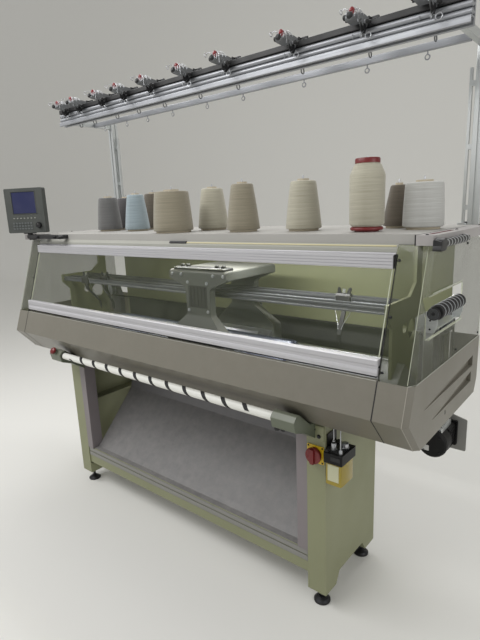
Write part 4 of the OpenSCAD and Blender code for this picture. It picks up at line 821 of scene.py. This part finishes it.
# %% Grip tape
tape = plastic("grip_tape", (30, 30, 32), 0.75, Grain=500.0, Depth=0.3)
BAR_Y, BAR_Z, BAR_R = -22, 885, 18.0
TAPE_START, TAPE_PITCH, TAPE_HALF, TAPE_TURNS, STEPS = -650, 115, 12, 11, 24
rings = []
for t in range(TAPE_TURNS * STEPS + 1):
    a = 2 * pi * t / STEPS
    x = TAPE_START + TAPE_PITCH * t / STEPS
    rings.append([(x + dx, BAR_Y - (BAR_R + d) * cos(a), BAR_Z - (BAR_R + d) * sin(a))
                  for dx, d in ((-TAPE_HALF, -0.1), (-TAPE_HALF, 0.5), (TAPE_HALF, 0.5),
                                (TAPE_HALF, -0.1))])
Shape().skin(rings).piece("bar_grip_tape", tape, "operating_bar")
collars = Shape()
for s in SIDES:
    collars.turned((s * 729, BAR_Y, BAR_Z), (s, 0, 0), [
        (18.2, 0), (20, 1.5), (20, 4.5), (14, 5.5)], 32)
collars.piece("bar_collars", black, "operating_bar")

# %% Window caps, seals and screws
middle, hem = window_line(1142), window_line(1170)
LOW_CAP = [(middle + 16, 1114), (middle + 15, 1126), (hem + 12, 1167), (hem + 3, 1170),
           (middle - 9, 1169), (middle - 12, 1126), (middle - 13, 1121), (middle - 8, 1114)]
TOP_CAP = [(137, 1496.5), (118, 1496.5), (111, 1493), (111, 1452), (129, 1452), (137, 1463)]


def beside_pane(z0, z1, front, back):
    """A strip up the window's slope, from front to back of its outer face, as (y, z)."""
    return [(window_line(z) + d, z) for z, d in ((z0, front), (z1, front), (z1, back), (z0, back))]


caps, rail_ends, pane_edge_highlights, side_seals = Shape(), Shape(), Shape(), Shape()
for s in SIDES:
    rail_ends.drawn(LOW_CAP, 0, *span(s, 1128.1, 1130.4))
    caps.drawn(TOP_CAP, 0, *span(s, 1128.1, 1130.4))
    # The pale strip on each side edge of the pane is a painted highlight of the acrylic's edge.
    pane_edge_highlights.drawn(beside_pane(1172, 1450, -0.6, 5.4), 0, *span(s, 1123.2, 1125.6))
    side_seals.drawn(beside_pane(1101, 1497, -0.8, 3.0), 0, *span(s, 1132.4, 1135.4))
pane_edge_highlights.piece("window_pane_edges", bright, "window")
caps.piece("window_end_caps", black, "window")
rail_ends.piece("window_rail_ends", rail_finish, "window")
Shape().box((-1126, 10, 1107), (1126, 21, 1114.2), 1.5).piece("window_seals", rubber, "window")
side_seals.piece("end_window_seals", rubber)
rows = [((s * 1130.3, 15, 1144), (s, 0, 0), 4) for s in SIDES]
fix("window_cap_screws", rows, button, dark_steel, "window")

# %% [markdown]
# ## Inside the window
# The carriage arch bears a ribbed grille, bolts and a plate with four studs on top. Each feeder
# has a ceramic eye at its tip and bent wires that lead the yarn. A lamp under the roof lights
# the beds.

# %% Carriage
CARRIAGE_X = 200
parts = Shape()
for x in range(CARRIAGE_X - 44, CARRIAGE_X + 45, 22):
    parts.box((x - 4, 136.6, 1232), (x + 4, 140.5, 1322), 1)
parts.box((CARRIAGE_X - 58, 138.6, 1226), (CARRIAGE_X + 58, 141, 1328), 1)
parts.box((CARRIAGE_X - 160, 150, 1397), (CARRIAGE_X + 160, 214, 1409), 3)
for x in (-128, -90, 90, 128):
    parts.turned((CARRIAGE_X + x, 182, 1408), UP, [(11, 0), (11, 10), (8, 13)], 16)
parts.piece("carriage_fittings", black, "carriage")
rows = [((CARRIAGE_X + s * x, y, z), FRONT, r) for places in (
    ((60, 140, 1212, 6), (60, 140, 1342, 6)), ((100, 140, 1378, 6), (160, 140, 1378, 6)),
    ((140, 100, 1056, 7),)) for s in SIDES for x, y, z, r in places]
fix("carriage_screws", rows, bolt, steel, "carriage")

# %% Feeders' wires and eyes
FEEDERS = {  # place along the beds, depth of its rail and of its tip
    "front_outer_feeder": (-820, 228, 310.5), "front_inner_feeder": (-700, 275, 316.8),
    "rear_inner_feeder": (820, 365, 323.2)}
for name, (x, rail, tip) in FEEDERS.items():
    lead = Shape()
    arm = [rail - 3 + part * (tip - rail) for part in (0.22, 0.57, 0.82)]
    for s in SIDES:
        lead.tube([(x + s * dx, y, z) for dx, y, z in (
            (20, rail, 1308), (34, rail - 6, 1296), (40, rail - 4, 1262), (32, arm[0], 1224),
            (14, arm[1], 1188), (7, arm[2], 1162))], 1.3)
    lead.tube(coil((x, rail, 1309), UP, 6, 5, 3.2), 1.0, 6)
    lead.piece(name + "_wires", steel, name)
    fix(name + "_eye", [((x, tip, 1112), UP, 0.36)], eye, ceramic, name)

# %% Work lamp
lamp_white = plastic("lamp_tube", (250, 250, 240), 0.3, Depth=0.0,
                     settings=glow((255, 252, 206), 8.0))
Shape().tube([(-1000, 196, 1503), (1000, 196, 1503)], 7, 12).piece("work_lamp_tube", lamp_white)
holder = Shape().box((-1010, 178, 1512), (1010, 214, 1524.6), 3)
for x in (-1005, 1005):
    holder.box((x - 8, 184, 1490), (x + 8, 208, 1514), 2)
holder.piece("work_lamp_holder", white_paint)

# %% [markdown]
# ## Strips, seams, painted highlights and painted shadows of the covers
# A cream strip with a black slide runs along the header. A dark red felt strip lies in the right
# end piece. The edge of the feed opening has a bead and two clear lips in a pale acrylic that
# paints the highlight of a cut edge. Sheet covers show a dark seam where they meet. A pale rim
# along their top and a paler tube on each fold are painted highlights, and a dark strip where
# the table meets each end piece is a painted shadow, so these are thin pieces of their own. The
# end covers have a lock each, and a dark sheet covers the rear cover low down, inside the window.

# %% Header and felt strips
HEADER_Y, HEADER_Z, RUN, RISE = 133.3, 1514.6, 0.751, 0.66


def on_header(s, w):
    """s up the header's slope and w out of it, as (y, z)."""
    return (HEADER_Y + RUN * s - RISE * w, HEADER_Z + RISE * s + RUN * w)


cream_paint = enamel("cream_strip", (206, 198, 160), 0.35)
felt = plastic("dark_red_felt", (92, 30, 38), 0.9, Grain=900.0, Depth=0.5)
for name, outline, x0, x1, material in (
        ("header_strip", ((8, 0.1), (8, 2.4), (14, 2.4), (14, 0.1)), 150, 1126, cream_paint),
        ("header_slide", ((5, 0.1), (6, 6), (15, 7), (18, 0.1)), 40, 148, black)):
    Shape().drawn([on_header(*q) for q in outline], 0, x0, x1).piece(name, material)
Shape().box((1222.4, 156.4, 1559.1), (1233.6, 375.6, 1560.9), 0.6).piece("felt_strip_right", felt)

# %% Feed opening
OPENING_X = 1246
cut = [(OPENING_X, 92, 1312)] + arc((OPENING_X, 102, 1240), 10, 180, 270, 4)
cut += arc((OPENING_X, 460, 1240), 10, 270, 360, 4) + arc((OPENING_X, 460, 1358), 10, 0, 90, 4)
# The bead along the opening's cut edge is a painted highlight. The lips wear the same pale
# highlight acrylic.
Shape().tube(cut + [(OPENING_X, 116, 1368)], 2.2).piece("feed_opening_bead", bright)
lips = Shape().drawn([(1248.2, 1226), (1250.6, 1225), (1257, 1233), (1255, 1235)], 1, 110, 452)
lips.drawn([(1248.2, 1372), (1250.4, 1372), (1254, 1376), (1252.6, 1377.4)], 1, 140, 452)
lips.piece("feed_opening_lips", bright)

# %% Seams, painted shadow gaps, painted rim and fold highlights, locks and dark sheet
BEVEL = 18
COVER_LINE = [(0, 1100), (-42, 978), (68, 854)]
window_fold_highlights, rim_highlights, seams_and_shadow_gaps, fold_edge_highlights, locks = Shape(), Shape(), Shape(), Shape(), Shape()
seam = [(y - 0.7, z) for y, z in COVER_LINE] + [(y + 1.4, z) for y, z in COVER_LINE[::-1]]
# A pale tube along each cover's top edge is a painted highlight on the rim.
rim_highlights.tube([(x, 0.6, COVER_TOP + 0.2) for x in (-1128, 0, 1128)], 1.3, 6)
for s in SIDES:
    corner, side = s * (COVER_SIDE - BEVEL), s * (COVER_SIDE - 1)
    seams_and_shadow_gaps.drawn(seam, 0, *span(s, 1130.6, 1134.4))
    # A paler tube along each end cover's fold paints the highlight of a rounded edge.
    fold_edge_highlights.tube([(corner, y + 0.7, z) for y, z in COVER_LINE], 1.5)
    x0, x1 = span(s, 1242, COVER_SIDE + 0.2)
    locks.box((x0, 332.4, 891.4), (x1, 341.6, 908.6), 3)
    # A pale tube along each fold of the end window is a painted highlight of the bent edge.
    window_fold_highlights.tube([(s * (PANE_SIDE - BEVEL), window_line(z) - 0.2, z)
                for z in (1104, 1240, 1380, 1521)], 0.9, 6)
    rim_highlights.tube([(x, y, COVER_TOP + 0.4) for x, y in (
        (corner, 1.0), (side, 32), (side, 400), (side, 752))], 1.6, 6)
    # The dark strip where the table meets each end piece is a painted shadow in that gap.
    x0, x1 = span(s, 1197.6, 1200.9)
    seams_and_shadow_gaps.box((x0, 103.6, 1526), (x1, 640, TABLE_TOP + 0.6), 0.3)
window_fold_highlights.piece("end_window_folds", bright)
rim_highlights.piece("cover_rims", header_paint)
fold_edge_highlights.piece("end_cover_edges", fold_highlight_paint)
locks.piece("cover_locks", black)
seams_and_shadow_gaps.piece("panel_joints", rubber)
# A dark sheet over the lower part of the rear cover, inside the window.
Shape().box((-1110, 747.5, 872), (1110, 754.5, 1078), 2).piece("rear_cover_lining", rear_dark_sheet)

# %% [markdown]
# ## Right hand side
# Beside the bar's bracket sit the main switch, a bolt plate and a clamp. Higher up, eight feed
# wheels on one shaft draw yarn off the cones. A bright disc shows in each gap between them, and
# the front one has raised rings on its face.

# %% Switch disc, bolt plate and clamp under the bar
disc = Shape().turned((SWITCH_X, 84, SWITCH_Z), FRONT, [
    (30, 0), (33.5, 2), (33.5, 9), (31, 12), (12, 12.6)], 48)
disc.box((SWITCH_X - 8.6, 63.2, SWITCH_Z - 33), (SWITCH_X + 8.6, 72, SWITCH_Z + 33), 3)
disc.piece("switch_disc", red_plastic, "switch_knob")
Shape().box((820, 96.2, 770), (880, 99.9, 834), 1.2).piece("bolt_plate", stand_paint)
clamp = Shape().turned((738, -13, 848), DOWN, [(5, 0), (5, 6), (11, 8), (12, 15), (10, 20)], 20)
clamp.turned((766, -11, 848), DOWN, [(5, 0), (5, 4), (10, 6), (11, 14), (8, 18)], 20)
clamp.box((732, -18, 843), (790, -4, 849), 1.5).piece("bar_clamp", black)

# %% Discs and rings of the feed wheels
WHEEL_X, WHEEL_Z, WHEEL_FRONT, WHEEL_PITCH, GAPS = 1245, 1302, 205, 33, 7
DISC_BACK = WHEEL_FRONT - 30.4
shine, ridges = Shape(), Shape()
for k in range(GAPS):
    shine.turned((WHEEL_X, WHEEL_FRONT + WHEEL_PITCH * k + 13.9, WHEEL_Z), BACK, [
        (24.6, 0), (25.4, 0.4), (25.4, 0.9), (24.6, 1.3)], 40)
shine.turned((WHEEL_X, WHEEL_FRONT - 11.9, WHEEL_Z), FRONT, [(9.8, 0), (9.8, 1.2), (8.6, 1.6)], 32)
shine.piece("feed_wheel_discs", steel, "feed_wheels")
Shape().turned((WHEEL_X, DISC_BACK, WHEEL_Z), FRONT, [
    (19.8, 0), (21.3, 1.5), (21.3, 6), (20, 8), (19, 8), (18, 6.5), (5, 6.5), (4, 9), (0.5, 9)],
    48).piece("feed_wheel_front_disc", black, "feed_wheels")
for r in (15.6, 11.6, 7.4):
    ridges.turned((WHEEL_X, DISC_BACK - 6.4, WHEEL_Z), FRONT, [
        (r, 0), (r + 0.4, 1.0), (r + 1.4, 1.0), (r + 1.8, 0)], 40, True)
ridges.piece("feed_wheel_ridges", unit_plastic, "feed_wheels")

# %% [markdown]
# ## Controller
# The operator's panel has a screen behind glass, a row of pale keys, a keypad and a dial with
# a tick. It stands turned towards the operator, so its places are given in its own directions.

# %% Screen, keys and dial
TURN = radians(26)
CONTROLLER_Y, CONTROLLER_Z = 90, 1572
DIAL_U, DIAL_Z, DIAL_RIDGES = 88, 44, 16


def on_panel(u, v, z):
    """u to the panel's right, v to its back and z above its lower edge."""
    return at(CONTROLLER_X + u * cos(TURN) - v * sin(TURN),
              CONTROLLER_Y + u * sin(TURN) + v * cos(TURN), CONTROLLER_Z + z)


Shape(on_panel).box((-81, -21.5, 115), (77, -19.1, 239), 1).piece(
    "panel_screen", screen_glass, "controller_case")
surround, top_keys, pad_keys, ridges = (Shape(on_panel) for _ in range(4))
for u0, z0, u1, z1 in ((-86, 110, -81.5, 244), (77.5, 110, 82, 244), (-86, 240, 82, 244),
                       (-86, 110, 82, 114)):
    surround.box((u0, -24.6, z0), (u1, -22.6, z1))
surround.piece("panel_screen_frame", panel_plastic, "controller_case")
pale_key = plastic("pale_key", (140, 142, 136), 0.45, Depth=0.05)
grey_key = plastic("grey_key", (88, 92, 92), 0.45, Depth=0.05)
for i in range(7):
    top_keys.box((-84.4 + i * 24, -26, 83.6), (-73.6 + i * 24, -23.4, 90.4))
    for k in range(3):
        u, z = -92.4 + i * 20, 19.6 + k * 16
        pad_keys.box((u, -25.6, z), (u + 14.8, -23.4, z + 10.8))
top_keys.piece("panel_key_row", pale_key, "controller_case")
pad_keys.piece("panel_keypad", grey_key, "controller_case")
Shape(on_panel).box((87.2, -38.3, 48), (88.8, -37.3, 57), 0.3).piece(
    "dial_tick", end_paint, "controller_dial")
for k in range(DIAL_RIDGES):
    a = 2 * pi * k / DIAL_RIDGES
    ridges.tube([(DIAL_U + r * cos(a), v, DIAL_Z + r * sin(a))
                 for r, v in ((16.3, -27), (15.2, -36.5))], 1.3, 6)
ridges.piece("dial_ridges", black, "controller_dial")

# %% [markdown]
# ## Lubricator, motor, belts and feet
# The lubricator's pump head is dark with bright fittings, and two thin pipes lead its oil up to
# the beds. The motor has ribs and a bright cover on its terminal box, and its front cap bears a
# bare pale label, as the bottle does.

# %% Lubricator
PUMP_Z, BOTTLE_Y = 742.4, 135
label = plastic("bare_label", (190, 190, 160), 0.5, Depth=0.02)
BOTTLE_FRONT = [(892.7, 93), (895, 86), (902, 83.3), (952, 83.3), (959, 86), (962, 93)]
Shape().drawn(BOTTLE_FRONT + [(x, 2 * BOTTLE_Y - y) for x, y in BOTTLE_FRONT[::-1]], 2,
              609.3, 701.6).piece("lubricator_bottle", bottle)
head = Shape().box((896, 90, 741), (958, 180, 748), 2).box((890, 82, 741), (906, 190, 752), 2)
head.box((920, 75.2, 716), (960, 76.4, 732), 0.4).piece("lubricator_head", black)
fittings = Shape()
for x, y, outline, steps in (
        (915.3, 110, ((13, 0), (13, 8), (10, 10), (10, 30), (6, 36), (6, 42)), 24),
        (941.3, 150, ((17, 0), (17, 6), (15, 8), (15, 22), (11, 24)), 24),
        (952, 96, ((7, 0), (7, 14), (4, 18)), 16)):
    fittings.turned((x, y, PUMP_Z), UP, outline, steps)
for x, y, top in ((915.3, 110, 783), (952, 96, 759)):
    fittings.tube([(x, y, top), (x, y, top + 22), (x - 4, y + 6, 824), (x - 6, y + 14, 846),
                   (x - 6, y + 14, 860)], 2.0, 10)
    fittings.turned((x - 6, y + 14, 849), UP, [(5, 0), (5, 11)], 6)
fittings.piece("lubricator_fittings", steel)
Shape().box((904, 82.4, 626), (951, 83.9, 694), 0.4).piece("lubricator_label", label)

# %% Motor
RIBS, CAP_SCREW_R = 6, 45
motor_x, motor_z = MOTOR
ribs = Shape()
for k in range(RIBS):
    z = motor_z - 36 + k * 14
    for s in SIDES:
        x0, x1 = sorted((motor_x + s * 47.5, motor_x + s * 51.5))
        ribs.box((x0, 602, z), (x1, 674, z + 3), 0.6)
ribs.turned((motor_x, 532, motor_z), BACK, [(59.5, 0), (61.5, 1), (61.5, 5), (59.5, 6)], 48)
ribs.turned((1112.5, 632, 720), LEFT, [(11, 0), (11, 8), (9, 10), (8, 18)], 18)
ribs.piece("motor_ribs", motor_paint)
Shape().box((1112, 541, 704), (1184, 663, 736), 3).piece("motor_box_cover", aluminium)
pale_label = plastic("pale_label", (204, 204, 202), 0.5, Depth=0.02)
Shape().box((1102, 519.0, 632), (1140, 520.5, 656), 0.4).piece("motor_label", pale_label)
rows = [((motor_x + CAP_SCREW_R * cos(a), 520, motor_z + CAP_SCREW_R * sin(a)), FRONT, 4)
        for a in (radians(45 + 90 * k) for k in range(4))]
rows += [((x, y, 736), UP, 3) for x in (1119, 1177) for y in (548, 656)]
fix("motor_screws", rows, button, dark_steel)

# %% [markdown]
# A belt's teeth follow the loop that the belt runs on: two arcs round the pulleys and the two
# straight runs between them, with one point every few millimetres.

# %% Belt teeth
IDLER, DRIVE = (-1100, 1150), (1100, 1150)


def belt_loop(a, ra, b, rb, pitch):
    """Points and inward directions round two pulleys, in the (x, z) plane."""
    d = hypot(b[0] - a[0], b[1] - a[1])
    way = atan2(b[1] - a[1], b[0] - a[0])
    off = acos((ra - rb) / d)
    run = sqrt(d * d - (ra - rb) ** 2)
    points = []
    for (cx, cz), r, start, sweep, leave, ahead in (
            (a, ra, way + off, 2 * pi - 2 * off, way - off, 1),
            (b, rb, way - off, 2 * off, way + off, -1)):
        stops = [(start + i * pitch / r, 0) for i in range(max(1, int(r * sweep / pitch)))]
        stops += [(leave, ahead * i * pitch) for i in range(int(run / pitch))]
        points += [(cx + r * cos(angle) + step * cos(way), cz + r * sin(angle) + step * sin(way),
                    -cos(angle), -sin(angle)) for angle, step in stops]
    return points


for name, a, ra, b, rb, y, wide, pitch in (
        ("drive_belt_teeth", IDLER, 34, DRIVE, 34, 592, 23, 8.0),
        ("motor_belt_teeth", DRIVE, 52, MOTOR, 24, 717, 19, 7.0)):
    tooth = Shape(straight).box((-1.6, -wide / 2, -0.9), (1.6, wide / 2, 0.9), 0.5)
    fix(name, [((x, y, z), (dx, 0, dz), 1) for x, z, dx, dz in belt_loop(a, ra, b, rb, pitch)],
        tooth.pattern(name + "_pattern"), rubber)

# %% Feet, post caps, roller bands and strips on the beam
FOOT_X, BANDS, BAND_PITCH = 842.5, 25, 50
feet, post_caps = Shape(), Shape()
for s in SIDES:
    for y in (145, 515):
        feet.turned((s * FOOT_X, y, 0.2), UP, [(33, 0), (35.5, 1), (35.5, 6), (33.8, 7)], 40)
    x0, x1 = span(s, 1166, 1214)
    post_caps.box((x0, POST_Y - 24, 2281), (x1, POST_Y + 24, 2285), 2)
feet.piece("foot_pads", rubber)
post_caps.piece("post_caps", black)
for name, y in (("front_take_down_roller", 293.5), ("rear_take_down_roller", 346.5)):
    grooves = Shape()
    for i in range(BANDS):
        grooves.turned((i * BAND_PITCH - 602, y, 750), RIGHT, [
            (24.8, 0), (25.5, 0.8), (25.5, 3.2), (24.8, 4)], 32)
    grooves.piece(name + "_bands", rubber, name)
beam = Shape().box((-798, 103.2, 225), (798, 105.9, 248), 1)
beam.box((-798, 103.2, 196), (798, 105.9, 221), 1).piece("beam_front_strips", plate_paint)
